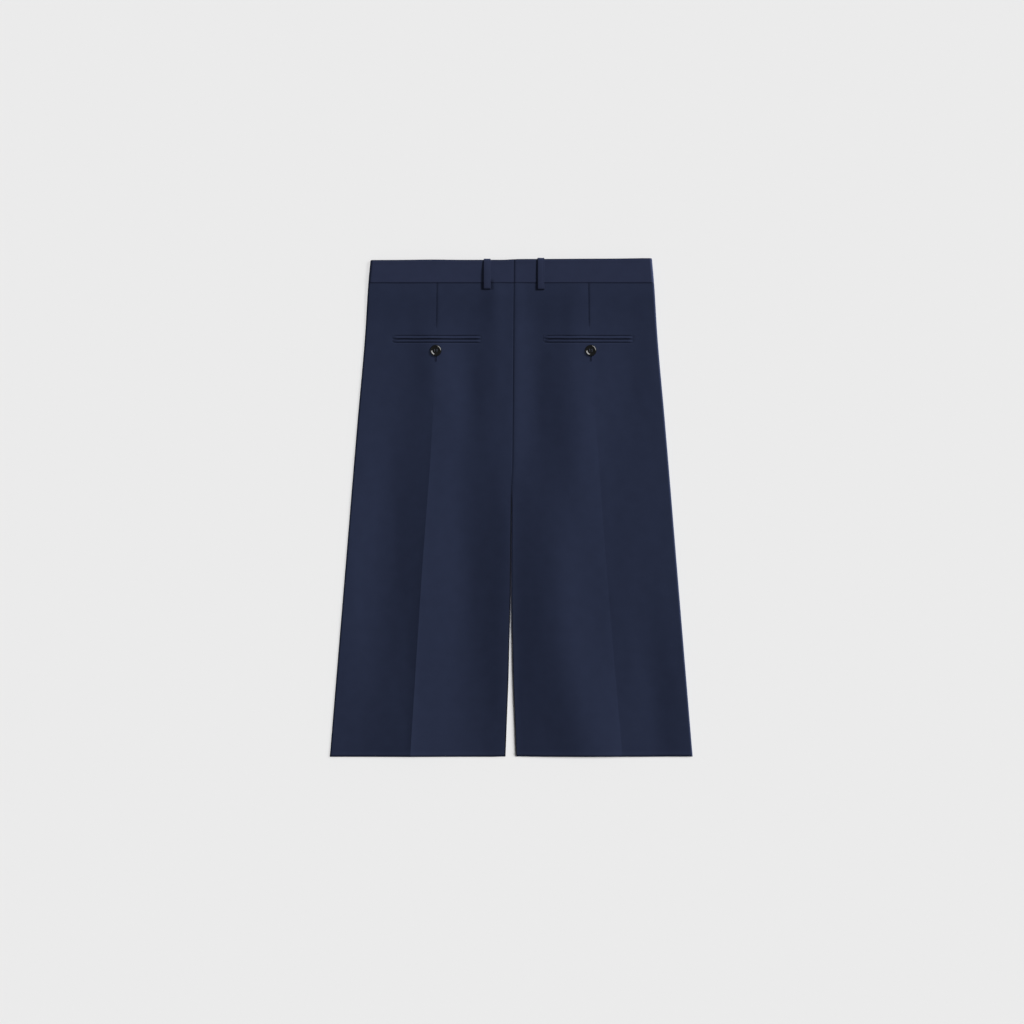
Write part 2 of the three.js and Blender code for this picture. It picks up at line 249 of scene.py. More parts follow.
@dataclass
class Cut:
    """The garment's sizes and the form of its laid legs, shared by every piece."""

    length: float = 720.0
    band_height: float = 33.3
    crotch: float = 337.0
    loop_rise: float = 1.3
    seam: float = 0.3
    lift_start: float = 40.0
    lift_end: float = 96.0
    fork_start: float = 315.0
    fork_end: float = 377.0
    body_floor: float = 2.1
    band_floor: float = 1.5
    band_depth: float = 7.2
    half: Curve = Curve((0, 203.7), (32, 206.8), (113, 212.1), (232, 222.6), (470, 242.3), (720, 263.0))
    centre: Curve = Curve((0, 3.9), (300, 1.6), (360, 0.8), (480, -0.1), (600, -0.4), (720, -0.4))
    gap: Curve = Curve(
        (337, 0), (360, 0.2), (435, 0.8), (480, 1.3), (522, 2.8), (551, 4.3), (580, 5.6), (609, 7.1),
        (638, 9.3), (667, 11.6), (720, 15.6),
    )  # fmt: skip
    depth: Curve = Curve((32, 5.4), (180, 5.0), (480, 4.9), (720, 4.6))
    crease_out: dict[Side, Curve] = by_side(
        Curve((32, 111.6), (132, 112.4), (247, 116.7), (480, 131), (720, 145.8)),
        Curve((32, 107.9), (104, 109.4), (132, 111.2), (232, 120), (480, 141), (720, 161.6)),
    )
    crease_height: dict[Side, Curve] = by_side(
        Curve((180, 0), (290, 0.7), (480, 1.1), (720, 1.3)),
        Curve((180, 0), (290, -0.4), (480, -0.5), (720, -0.8)),
    )
    crease_reach: dict[Side, tuple[float, float]] = by_side((13.0, 15.0), (14.0, 45.0))
    folds: tuple[SoftFold, ...] = (
        SoftFold(-183, 420, -2.6, 38, 200, -0.08),
        SoftFold(-113, 150, 0.9, 22, 60),
        SoftFold(-60, 185, -1.2, 22, 80),
        SoftFold(-68, 455, -2.0, 34, 190),
        SoftFold(-24, 60, 0.6, 14, 40),
        SoftFold(-150, 725, 2.1, 56, 110),
        SoftFold(36, 190, -0.4, 14, 110),
        SoftFold(92, 225, 1.8, 34, 120, 0.08),
        SoftFold(96, 70, 0.7, 24, 50),
        SoftFold(66, 470, 1.6, 34, 130),
        SoftFold(104, 680, 2.6, 44, 140, 0.22),
        SoftFold(172, 150, -0.5, 22, 90),
        SoftFold(207, 640, -1.2, 26, 130, 0.1),
    )
    edge_lift: dict[Side, Curve] = by_side(
        Curve((250, 0), (400, 1.3), (600, 1.6), (720, 0.9)),
        Curve((250, 0), (400, -1.0), (600, -1.3), (720, -1.2)),
    )
    edge_lift_wide: float = 26.0
    roll_squeeze: float = 0.5
    waist_edge: Curve = Curve(
        (-201, -0.2), (-158, 0), (-114, 0.5), (-71, 0.1), (-13, 0.15), (3, 0.9), (16, 1.3), (60, 1.4),
        (103, 1.7), (147, 1.9), (190, 2.45),
    )  # fmt: skip
    hem_edge: Curve = Curve(
        (-260, 0.3), (-30, 0.3), (-12, 0.8), (10, 0.8), (28, 0.6), (70, 0.3), (180, 0.3), (228, 0.65)
    )
    loop_out: dict[Side, float] = by_side(38.6, 39.1)
    loop_wide: float = 9.9
    loop_end: float = 42.2
    left_loop_short: float = 0.6
    pocket_out: dict[Side, float] = by_side(111.0, 108.8)
    pocket_mouth: float = 114.7
    pocket_wide: float = 131.4
    welt: float = 5.1
    button_out: float = 112.2
    button_below: float = 131.2
    hole_top: float = 130.0
    hole_end: float = 146.4
    dart_end: float = 104.0

    def pocket_middle(self, side: Side) -> float:
        """The place across the garment of the middle of one pocket's mouth."""
        return self.centre(self.pocket_mouth) + side.value * self.pocket_out[side]

    def button_middle(self, side: Side, below: float) -> float:
        """The place across the garment of the middle of one button and its buttonhole."""
        return self.centre(below) + side.value * self.button_out

    def loop_middle(self, side: Side, out: float) -> float:
        """The place across the garment of the middle of a belt loop that lies out from the centre line."""
        return self.centre(self.band_height / 2) + side.value * out

    def loop_low(self, side: Side, face: Face) -> float:
        """Where a belt loop ends below the waist; the left one on the back is a little shorter."""
        return self.loop_end - (self.left_loop_short if (side, face) == (Side.LEFT, Face.BACK) else 0.0)

    @property
    def high_y(self) -> float:
        """The waist edge's place along Y."""
        return (self.length + self.loop_rise) / 2 - self.loop_rise

    def y(self, below: float) -> float:
        """The place along Y of a distance below the waist."""
        return self.high_y - below

    def section(self, side: Side, below: float) -> Section:
        """The leg's section at one distance below the waist.

        Args:
            side: Which leg.
            below: Distance below the waist edge.

        Returns:
            Its edges, crease and middle height.
        """
        sign = side.value
        radius = self.depth(below) / 2
        floor = self.body_floor * (1 - float(smoothstep(below, self.lift_start, self.lift_end)))
        turn = math.pi / 2 * float(smoothstep(below, self.fork_start, self.fork_end))
        rolled = math.pi / 2 * radius
        gap = 0.0 if below < self.crotch else self.gap(below)
        inner = self.centre(below) + sign * gap / 2
        side_x = sign * self.half(below)
        return Section(
            sign=sign,
            radius=radius,
            turn=turn,
            rolled=rolled,
            middle=floor + radius,
            side=side_x,
            inner=inner,
            fold_start=side_x - sign * radius,
            roll_start=inner + sign * (self.roll_squeeze * radius * math.sin(turn) + rolled - turn * radius),
            crease=self.centre(below) + sign * self.crease_out[side](below),
        )


@dataclass
class Relief:
    """How the back's surface rises and falls: creases, darts, folds, seams and pocket mouths; and the shade
    painted into its colour.
    """

    cut: Cut
    dart_deep: float = 0.4
    dart_reach: float = 1.1
    dart_fade: float = 18.0
    dart_edge: float = 0.03
    # Painted shade along the dart's groove.
    dart_shade: float = 0.28
    dart_shade_edge: float = -0.1
    mouth_deep: float = 0.8
    mouth_edge: float = 0.9
    mouth_fade: float = 9.0
    # Painted shade in the sunken pocket mouth.
    mouth_shade: float = 0.7
    parting: tuple[float, float] = (-60.0, 6.0)
    seam_dip: dict[Side, float] = by_side(0.15, 0.5)
    seam_reach: dict[Side, float] = by_side(0.5, 0.8)
    seam_swell: float = 0.6
    seam_swell_at: float = 2.0
    seam_swell_wide: float = 12.0
    # Painted shade along the centre seam.
    seam_shade: float = 0.2
    seam_shade_reach: float = 0.7
    hole_deep: float = 0.5
    hole_wide: float = 0.5
    hole_ends: tuple[float, float] = (1.0, 0.8)
    # Painted shade in the buttonhole slit, under the band's edge, and on the left leg's inner roll beside the
    # gap.
    hole_shade: float = 0.75
    waist_shade: float = 0.1
    waist_shade_reach: float = 0.6
    gap_shade: float = 0.98
    gap_shade_edge: tuple[float, float] = (0.7, 2.2)
    gap_shade_start: tuple[float, float] = (-40.0, 20.0)
    deepest: float = 2.0
    spare: float = 0.5
    # Painted shadow round the back belt loops: left of each, under its end, and soft right of the left one.
    loop_shadow: float = 0.62
    loop_strip: dict[Side, tuple[float, float, float]] = by_side((1.6, 3.2, 20.0), (2.2, 0.9, 42.2))
    loop_strip_edge: tuple[float, float] = (0.65, 1.15)
    loop_strip_start: tuple[float, float] = (0.6, 2.5)
    loop_soft: float = 0.6
    loop_crisp: float = 0.1
    loop_under: tuple[float, float] = (-1.7, -0.7)
    loop_under_end: tuple[float, float] = (1.1, 2.1)
    loop_far_shade: float = 0.66
    loop_far_edge: tuple[float, float] = (2.4, 6.4)
    loop_far_start: tuple[float, float] = (25.0, 32.0)
    # Painted fall-off of light: the cloth darker towards the hem.
    hem_painted_dim: float = 0.06
    hem_painted_dim_start: float = 250.0
    hem_roll: float = 2.2
    hem_drop: float = 0.7
    hem_flare: float = 0.35
    hem_flare_at: float = 3.6
    hem_flare_wide: float = 2.4
    unevenness: tuple[tuple[float, ClothGrain], ...] = (
        (0.10, ClothGrain(3, 34, 90)),
        (0.05, ClothGrain(5, 13, 30)),
    )

    def back(self, side: Side, x: np.ndarray, below: float) -> np.ndarray:
        """Height of the back's outside over its flat level along one row.

        Args:
            side: Which leg.
            x: Places across the garment.
            below: The row's distance below the waist edge.

        Returns:
            The height at each place.
        """
        cut = self.cut
        s = cut.section(side, below)
        before, after = cut.crease_reach[side]
        from_crease = x - s.crease
        reach = np.where(from_crease < 0, before, after)
        height = cut.crease_height[side](below) * np.exp(-np.abs(from_crease) / reach)
        for fold in cut.folds:
            height = height + fold.rise(x, below)
        for amount, noise in self.unevenness:
            height = height + amount * noise(x, below)
        height = height + cut.edge_lift[side](below) * bell(x - s.inner, cut.edge_lift_wide)
        under = np.minimum(height + self.deepest, 0.0)
        height = np.maximum(height, -self.deepest) - self.spare * (1 - np.exp(under / self.spare))
        return height + self.fine(side, x, below, s)

    def fine(self, side: Side, x: np.ndarray, below: float, s: Section) -> np.ndarray:
        """The sewn relief of one row: dart, pocket mouth, waist seam and hem.

        Args:
            side: Which leg.
            x: Places across the garment.
            below: The row's distance below the waist edge.
            s: The leg's section there.

        Returns:
            The height at each place.
        """
        cut = self.cut
        from_dart = x - s.crease
        fall = np.where(from_dart > self.dart_edge, np.exp(-from_dart / self.dart_reach), 0)
        height = -self.dart_deep * self.darted(below) * fall
        from_middle = np.abs(x - cut.centre(below))
        dip = np.exp(-from_middle / self.seam_reach[side])
        height = height - self.seam_dip[side] * self.sewn(below) * dip
        if side is Side.RIGHT:
            swell = bell(from_middle - self.seam_swell_at, self.seam_swell_wide)
            height = height + self.seam_swell * self.sewn(below) * swell
        height = height - self.mouth_deep * self.in_mouth(side, x, below)
        height = height - self.hole_deep * self.in_buttonhole(side, x, below)
        from_hem = cut.length - below
        height = height - self.hem_drop * float(1 - smoothstep(from_hem, 0, self.hem_roll))
        return height + self.hem_flare * bell(from_hem - self.hem_flare_at, self.hem_flare_wide)

    def darted(self, below: float) -> float:
        """Share by which the dart is there at one distance below the waist."""
        return 1 - float(smoothstep(below, self.cut.dart_end - self.dart_fade, self.cut.dart_end))

    def sewn(self, below: float) -> float:
        """Share by which the two legs are sewn together at one distance below the waist."""
        start, end = self.parting
        return 1 - float(smoothstep(below, self.cut.crotch + start, self.cut.crotch + end))

    def in_buttonhole(self, side: Side, x: np.ndarray, below: float) -> np.ndarray:
        """Share by which each place of a row lies in the slit of the buttonhole."""
        cut = self.cut
        upper, lower = self.hole_ends
        opened = smoothstep(below, cut.hole_top, cut.hole_top + upper)
        closed = smoothstep(below, cut.hole_end - lower, cut.hole_end)
        return float(opened * (1 - closed)) * bell(x - cut.button_middle(side, below), self.hole_wide)

    def shade(self, side: Side, x: np.ndarray, below: float) -> np.ndarray:
        """Painted shade of one row in seams, slits and folds, as a share from 0 to 1 at full colour.

        Args:
            side: Which leg.
            x: Places across the garment.
            below: The row's distance below the waist edge.

        Returns:
            The share at each place.
        """
        cut = self.cut
        s = cut.section(side, below)
        # Painted shade: darker in the dart, the centre seam, the buttonhole slit, the pocket mouth, under the
        # band and on the left leg's roll into the gap.
        from_dart = x - s.crease
        beside = np.exp(-np.abs(from_dart) / self.dart_reach)
        fall = np.where(from_dart > self.dart_shade_edge, beside, 0)
        dark = self.dart_shade * self.darted(below) * fall
        from_middle = np.abs(x - cut.centre(below))
        dark = dark + self.seam_shade * self.sewn(below) * np.exp(-from_middle / self.seam_shade_reach)
        dark = dark + self.hole_shade * self.in_buttonhole(side, x, below)
        dark = dark + self.mouth_shade * self.in_mouth(side, x, below)
        from_band = max(0.0, below - cut.band_height)
        dark = dark + self.waist_shade * np.exp(-from_band / self.waist_shade_reach)
        if side is Side.LEFT:
            into_gap = 1 - smoothstep(np.abs(x - s.inner), *self.gap_shade_edge)
            start, end = self.gap_shade_start
            down_gap = float(smoothstep(below, cut.crotch + start, cut.crotch + end))
            dark = dark + self.gap_shade * into_gap * down_gap
        # Painted shadow of the back belt loops.
        dark = dark + self.painted_loop_shadow(x, below)
        # Painted fall-off of light towards the hem.
        dark = dark + self.hem_painted_dim * float(smoothstep(below, self.hem_painted_dim_start, cut.length))
        return np.clip(1 - dark, 0.0, 1.0)

    def painted_loop_shadow(self, x: np.ndarray, below: float) -> np.ndarray:
        """Painted shadow of the back belt loops, as how much it darkens the cloth's colour.

        It is deep on the left of each loop and under its end, and soft on the right of the left one, where
        that leaves the band.

        Args:
            x: Places across the garment.
            below: Distance below the waist edge.

        Returns:
            The painted shadow at each place, from 0 up.
        """
        cut = self.cut
        dark = np.zeros_like(x)
        for side in Side:
            low = cut.loop_low(side, Face.BACK)
            left = cut.loop_middle(side, cut.loop_out[side]) - cut.loop_wide / 2
            right = left + cut.loop_wide
            soft = self.loop_soft
            above = float(1 - smoothstep(below, *(low + end for end in self.loop_under_end)))
            narrow, gain, reach = self.loop_strip[side]
            wide = narrow + gain * min(1.0, max(0.0, below / reach))
            strip = 1 - smoothstep(left - x, *(share * wide for share in self.loop_strip_edge))
            strip = strip * smoothstep(left - x, -soft, -self.loop_crisp)
            strip = strip * float(smoothstep(below, *self.loop_strip_start)) * above
            end = smoothstep(x, left - soft, left) * (1 - smoothstep(x, right, right + soft))
            end = end * float(smoothstep(below, *(low + start for start in self.loop_under))) * above
            dark = np.maximum(dark, np.maximum(strip, end))
            if side is Side.LEFT:
                far = 1 - smoothstep(x, *(right + edge for edge in self.loop_far_edge))
                far = far * smoothstep(x, right - soft, right)
                far = far * float(smoothstep(below, *self.loop_far_start)) * above
                dark = np.maximum(dark, self.loop_far_shade * far)
        return self.loop_shadow * dark

    def in_mouth(self, side: Side, x: np.ndarray, below: float) -> np.ndarray:
        """Share by which each place of a row lies inside the pocket's sunken mouth."""
        cut = self.cut
        middle = cut.pocket_middle(side)
        beside = cut.pocket_wide / 2 - np.abs(x - middle)
        over = cut.welt + cut.seam / 2 - abs(below - cut.pocket_mouth)
        across = smoothstep(beside, 0.0, self.mouth_fade)
        return across * smoothstep(over, -self.mouth_edge, self.mouth_edge)

    def back_top(self, x: float, below: float, smooth: bool = False) -> float:
        """Height of the back's outside over the floor at one place.

        Args:
            x: Place across the garment.
            below: Distance below the waist edge.
            smooth: Leaves out the sewn relief, for pieces that bridge it.

        Returns:
            The height over the floor.
        """
        side = Side.LEFT if x < self.cut.centre(below) else Side.RIGHT
        s = self.cut.section(side, below)
        at = np.array([x])
        height = self.back(side, at, below)
        if smooth:
            height = height - self.fine(side, at, below, s)
        return s.middle + s.radius + float(height[0])


def mesh_object(
    name: str,
    points: np.ndarray,
    faces: Sequence[Sequence[int]],
    uv: np.ndarray | None = None,
    shade: np.ndarray | None = None,
) -> Piece:
    """Makes an object of points in millimetres, at the origin.

    Args:
        name: The piece's name.
        points: One row of three coordinates for each point.
        faces: Point numbers of each face.
        uv: Places of the points on the cloth, in metres, or nothing.
        shade: Share of full colour at each point, lowered where shade is painted, or nothing for full colour.

    Returns:
        The new object, linked to the scene.
    """
    mesh = bpy.data.meshes.new(name)
    mesh.from_pydata((points * MM).tolist(), [], [list(face) for face in faces])
    mesh.validate()
    if uv is not None:
        layer = mesh.uv_layers.new(name="cloth")
        corner = np.empty(len(mesh.loops), int)
        mesh.loops.foreach_get("vertex_index", corner)
        layer.data.foreach_set("uv", uv[corner].astype(np.float32).ravel())
    # The shade attribute carries painted shade into the cloth's colour.
    share = np.ones(len(points)) if shade is None else shade
    mesh.attributes.new("shade", "FLOAT", "POINT").data.foreach_set("value", share.astype(np.float32))
    mesh.update()
    piece = bpy.data.objects.new(name, mesh)
    bpy.context.scene.collection.objects.link(piece)
    return piece


def solid(
    name: str,
    points: np.ndarray,
    faces: Sequence[Sequence[int]],
    uv: np.ndarray | None = None,
    shade: np.ndarray | None = None,
) -> Piece:
    """Makes a closed, smooth piece with its faces pointing out; it takes what mesh_object does."""
    piece = mesh_object(name, points, faces, uv, shade)
    face_out(piece)
    shade_smooth(piece)
    return piece


class ClothWall:
    """A closed wall of cloth, gathered row by row from outer points and inner ones."""

    def __init__(self) -> None:
        """Starts with no rows."""
        self.outer: list[np.ndarray] = []
        self.inner: list[np.ndarray] = []
        self.uv: list[np.ndarray] = []
        self.shade: list[np.ndarray] = []

    def add(
        self, outer: np.ndarray, inner: np.ndarray, place: np.ndarray, shade: np.ndarray | float = 1.0
    ) -> None:
        """Adds one row.

        Args:
            outer: Its outer points, in millimetres.
            inner: Its inner points, in the same order.
            place: Place on the cloth of each of them, in millimetres.
            shade: Share of full colour at each of them, lowered where shade is painted.
        """
        self.outer.append(outer)
        self.inner.append(inner)
        self.uv.append(place * MM)
        self.shade.append(shade * np.ones(len(outer)))

    def build(self, name: str) -> Piece:
        """Joins the rows into a closed wall."""
        outer, inner = np.array(self.outer), np.array(self.inner)
        rows, columns = outer.shape[:2]
        over = np.arange(rows * columns).reshape(rows, columns)
        under = over + rows * columns
        corners = (
            (over[:-1, :-1], over[:-1, 1:], over[1:, 1:], over[1:, :-1]),
            (under[:-1, :-1], under[1:, :-1], under[1:, 1:], under[:-1, 1:]),
            (over[0, 1:], over[0, :-1], under[0, :-1], under[0, 1:]),
            (over[-1, :-1], over[-1, 1:], under[-1, 1:], under[-1, :-1]),
            (over[:-1, 0], over[1:, 0], under[1:, 0], under[:-1, 0]),
            (over[1:, -1], over[:-1, -1], under[:-1, -1], under[1:, -1]),
        )
        faces = np.concatenate([np.stack(four, axis=-1).reshape(-1, 4) for four in corners])
        points = np.concatenate([outer.reshape(-1, 3), inner.reshape(-1, 3)])
        uv = np.concatenate(self.uv * 2)
        return solid(name, points, faces, uv, np.concatenate(self.shade * 2))


def tube(name: str, rings: np.ndarray, uv: np.ndarray, shade: np.ndarray | None = None) -> Piece:
    """Joins rings of points into a closed strip or cord with flat ends.

    Args:
        name: The piece's name.
        rings: Rings of points along it, in millimetres.
        uv: Place on the cloth of each point, in metres.
        shade: Share of full colour at each point, lowered where shade is painted, or nothing for full colour.

    Returns:
        The piece.
    """
    count, around = rings.shape[:2]
    number = np.arange(count * around).reshape(count, around)
    after = np.roll(number, -1, axis=1)
    faces = np.stack([number[:-1], after[:-1], after[1:], number[1:]], axis=-1).reshape(-1, 4).tolist()
    faces += [number[0][::-1].tolist(), number[-1].tolist()]
    dark = None if shade is None else shade.ravel()
    return solid(name, rings.reshape(-1, 3), faces, uv.reshape(-1, 2), dark)


def cord(name: str, path: np.ndarray, radius: float, sides: int = 8) -> Piece:
    """A round cord along a path.

    Args:
        name: The piece's name.
        path: Points of its middle line, in millimetres.
        radius: Its radius, in millimetres.
        sides: Number of its sides.

    Returns:
        The cord.
    """
    step = unit(np.gradient(path, axis=0))
    across = unit(np.cross(step, np.array([1.0, 0.0, 0.0])))
    other = np.cross(step, across)
    angles = np.linspace(0, 2 * math.pi, sides, endpoint=False)[None, :, None]
    rings = path[:, None] + radius * (np.cos(angles) * across[:, None] + np.sin(angles) * other[:, None])
    return tube(name, rings, rings[..., :2] * MM)


def face_out(piece: Piece) -> None:
    """Turns a closed mesh's faces so that they point outwards."""
    mesh = piece.data
    mesh.calc_loop_triangles()
    points = np.empty(len(mesh.vertices) * 3)
    mesh.vertices.foreach_get("co", points)
    points = points.reshape(-1, 3)
    corners = np.empty(len(mesh.loop_triangles) * 3, int)
    mesh.loop_triangles.foreach_get("vertices", corners)
    a, b, c = (points[corners.reshape(-1, 3)[:, k]] for k in range(3))
    if float(np.einsum("ij,ij->i", a, np.cross(b, c)).sum()) < 0:
        mesh.flip_normals()


def shade_smooth(piece: Piece, angle: float = 50.0) -> None:
    """Shades a piece smooth, but for edges sharper than an angle in degrees."""
    mesh = piece.data
    mesh.polygons.foreach_set("use_smooth", [True] * len(mesh.polygons))
    mesh.set_sharp_from_angle(angle=math.radians(angle))


def joined(name: str, parts: Sequence[Piece]) -> Piece:
    """Joins objects that sit at the origin into one.

    Args:
        name: The joined piece's name.
        parts: The objects to join, which are used up.

    Returns:
        The joined piece.
    """
    with bpy.context.temp_override(active_object=parts[0], selected_editable_objects=list(parts)):
        bpy.ops.object.join()
    parts[0].name = name
    parts[0].data.name = name
    return parts[0]


class NodeMaker:
    """Short ways to add nodes to a tree."""

    def __init__(self, tree: bpy.types.NodeTree) -> None:
        """Takes the tree that the nodes go into."""
        self.tree = tree

    def node(self, kind: str, values: dict | None = None, **settings: object) -> bpy.types.Node:
        """Adds a node.

        Args:
            kind: The node's type.
            values: Default value or link of each input, by its name or number.
            settings: The node's own settings.

        Returns:
            The new node.
        """
        node = self.tree.nodes.new(kind)
        for setting, value in settings.items():
            setattr(node, setting, value)
        for key, value in (values or {}).items():
            if isinstance(value, Socket):
                self.tree.links.new(value, node.inputs[key])
            else:
                node.inputs[key].default_value = value
        return node

    def math(self, operation: str, *terms: object) -> Socket:
        """The result of a math node on numbers or sockets."""
        return self.node("ShaderNodeMath", dict(enumerate(terms)), operation=operation).outputs[0]


class MaterialMaker(NodeMaker):
    """Short ways to build a material's nodes.

    Attributes:
        WAVE_TURN: Radians by which the wave node turns over one unit of length at a scale of 1.
    """

    WAVE_TURN = 20

    def __init__(self, name: str) -> None:
        """Starts a material with an empty tree.

        Args:
            name: The material's name.
        """
        self.material = bpy.data.materials.new(name)
        self.material.use_nodes = True
        super().__init__(self.material.node_tree)
        self.tree.nodes.clear()

    def noise(self, place: Socket, scale: float, detail: float) -> Socket:
        """Soft noise over a place, from 0 to 1."""
        return self.node("ShaderNodeTexNoise", {"Vector": place, "Scale": scale, "Detail": detail}).outputs[0]

    def waves(self, place: Socket, ridge: float, values: dict, **settings: object) -> Socket:
        """Even waves over a place, with ridges about as wide as stated, in millimetres."""
        values = {"Vector": place, "Scale": 1 / (ridge * MM) / self.WAVE_TURN * math.pi} | values
        return self.node("ShaderNodeTexWave", values, **settings).outputs["Fac"]

    def mix(self, factor: object, first: object, second: object) -> Socket:
        """A mix of two colours."""
        values = {"Factor": factor, 6: first, 7: second}
        return self.node("ShaderNodeMix", values, data_type="RGBA").outputs[2]

    def bump(self, strength: float, distance: float, height: Socket) -> Socket:
        """Surface directions that follow a height."""
        return self.node(
            "ShaderNodeBump", {"Strength": strength, "Distance": distance, "Height": height}
        ).outputs[0]

    def surface(self, values: dict, kind: str = "ShaderNodeBsdfPrincipled") -> Material:
        """Ends the tree in a surface shader.

        Args:
            values: Default value or link of each of the shader's inputs.
            kind: The shader's type.

        Returns:
            The finished material.
        """
        self.node("ShaderNodeOutputMaterial", {"Surface": self.node(kind, values).outputs[0]})
        return self.material


def tone(color: Color, share: float = 1.0) -> tuple[float, ...]:
    """A colour made darker or lighter, as a shader takes it."""
    return tuple(share * c for c in color) + (1.0,)


@dataclass(frozen=True)
class SuitingFinish:
    """Fine wool suiting: a steep twill with a soft nap."""

    name: str
    color: Color
    wale: float = 0.62
    twill_turn: float = 62.0
    fuzz_scale: float = 2600.0
    mottle_scale: float = 55.0
    darker: float = 0.82
    lighter: float = 1.2
    bump: float = 0.35
    bump_deep: float = 0.00012
    sheen: float = 0.05
    sheen_tint: Color = (0.55, 0.62, 0.9)
    nap: float = 0.48

    def material(self) -> Material:
        """Builds the cloth from its place on the piece."""
        make = MaterialMaker(self.name)
        place = make.node("ShaderNodeUVMap", uv_map="cloth").outputs[0]
        slant = {"Vector": place, "Rotation": (0, 0, math.radians(self.twill_turn))}
        turned = make.node("ShaderNodeMapping", slant).outputs[0]
        fuzz = make.noise(place, self.fuzz_scale, 3.0)
        mottle = make.noise(place, self.mottle_scale, 4.0)
        wales = make.waves(turned, self.wale, {"Distortion": 1.2, "Detail": 1.0})
        shade = make.math("ADD", make.math("MULTIPLY", mottle, 0.5), make.math("MULTIPLY", fuzz, 0.5))
        tint = make.mix(shade, tone(self.color, self.darker), tone(self.color, self.lighter))
        # Painted shade: the shade attribute darkens the base colour towards black.
        depth = make.node("ShaderNodeAttribute", attribute_name="shade").outputs["Fac"]
        relief = make.math("ADD", make.math("MULTIPLY", wales, 0.7), make.math("MULTIPLY", fuzz, self.nap))
        values = {
            "Base Color": make.mix(depth, (0.0, 0.0, 0.0, 1.0), tint),
            "Roughness": 0.9,
            "Specular IOR Level": 0.02,
            "Sheen Weight": self.sheen,
            "Sheen Roughness": 0.45,
            "Sheen Tint": tone(self.sheen_tint),
            "Normal": make.bump(self.bump, self.bump_deep, relief),
        }
        return make.surface(values)


@dataclass(frozen=True)
class GlossFinish:
    """Polished dark resin of the buttons, faintly clouded."""

    name: str
    color: Color
    roughness: float = 0.16
    uneven: float = 0.1
    cloud_scale: float = 420.0
    cloudy: float = 2.6
    scratch_scale: float = 1500.0
    coat: float = 0.3

    def material(self) -> Material:
        """Builds the resin."""
        make = MaterialMaker(self.name)
        place = make.node("ShaderNodeTexCoord").outputs["Object"]
        cloud = make.noise(place, self.cloud_scale, 3.0)
        scratch = make.noise(place, self.scratch_scale, 2.0)
        values = {
            "Base Color": make.mix(cloud, tone(self.color), tone(self.color, self.cloudy)),
            "Roughness": make.math("MULTIPLY_ADD", scratch, self.uneven, self.roughness - self.uneven / 2),
            "Specular IOR Level": 0.6,
            "Coat Weight": self.coat,
            "Coat Roughness": 0.12,
        }
        return make.surface(values)


@dataclass(frozen=True)
class ThreadFinish:
    """Twisted sewing thread."""

    name: str
    color: Color
    twist: float = 0.25
    darker: float = 0.7
    bump: float = 0.4
    bump_deep: float = 0.00006

    def material(self) -> Material:
        """Builds the thread with a fine slanted twist."""
        make = MaterialMaker(self.name)
        place = make.node("ShaderNodeTexCoord").outputs["Object"]
        ply = make.waves(place, self.twist, {"Distortion": 0.6}, bands_direction="DIAGONAL")
        values = {
            "Base Color": make.mix(ply, tone(self.color, self.darker), tone(self.color)),
            "Roughness": 0.9,
            "Specular IOR Level": 0.06,
            "Normal": make.bump(self.bump, self.bump_deep, ply),
        }
        return make.surface(values)


@dataclass(frozen=True)
class FloorFinish:
    """Plain pale floor."""

    name: str = "pale_floor"
    color: float = 0.8

    def material(self) -> Material:
        """Builds the floor."""
        return MaterialMaker(self.name).surface({"Color": tone((self.color,) * 3)}, "ShaderNodeBsdfDiffuse")


def dress(piece: Piece, material: Material, slot: str, *nodes: str) -> Piece:
    """Gives a piece its finish, its place in the frame and the nodes that it stands for.

    Args:
        piece: The piece.
        material: Its finish.
        slot: Name of a slot for that finish; not used.
        nodes: The nodes that it replaces.

    Returns:
        The same piece.
    """
    piece.data.materials.clear()
    piece.data.materials.append(material)
    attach(piece, "root")
    if nodes:
        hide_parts(*nodes)
    return piece


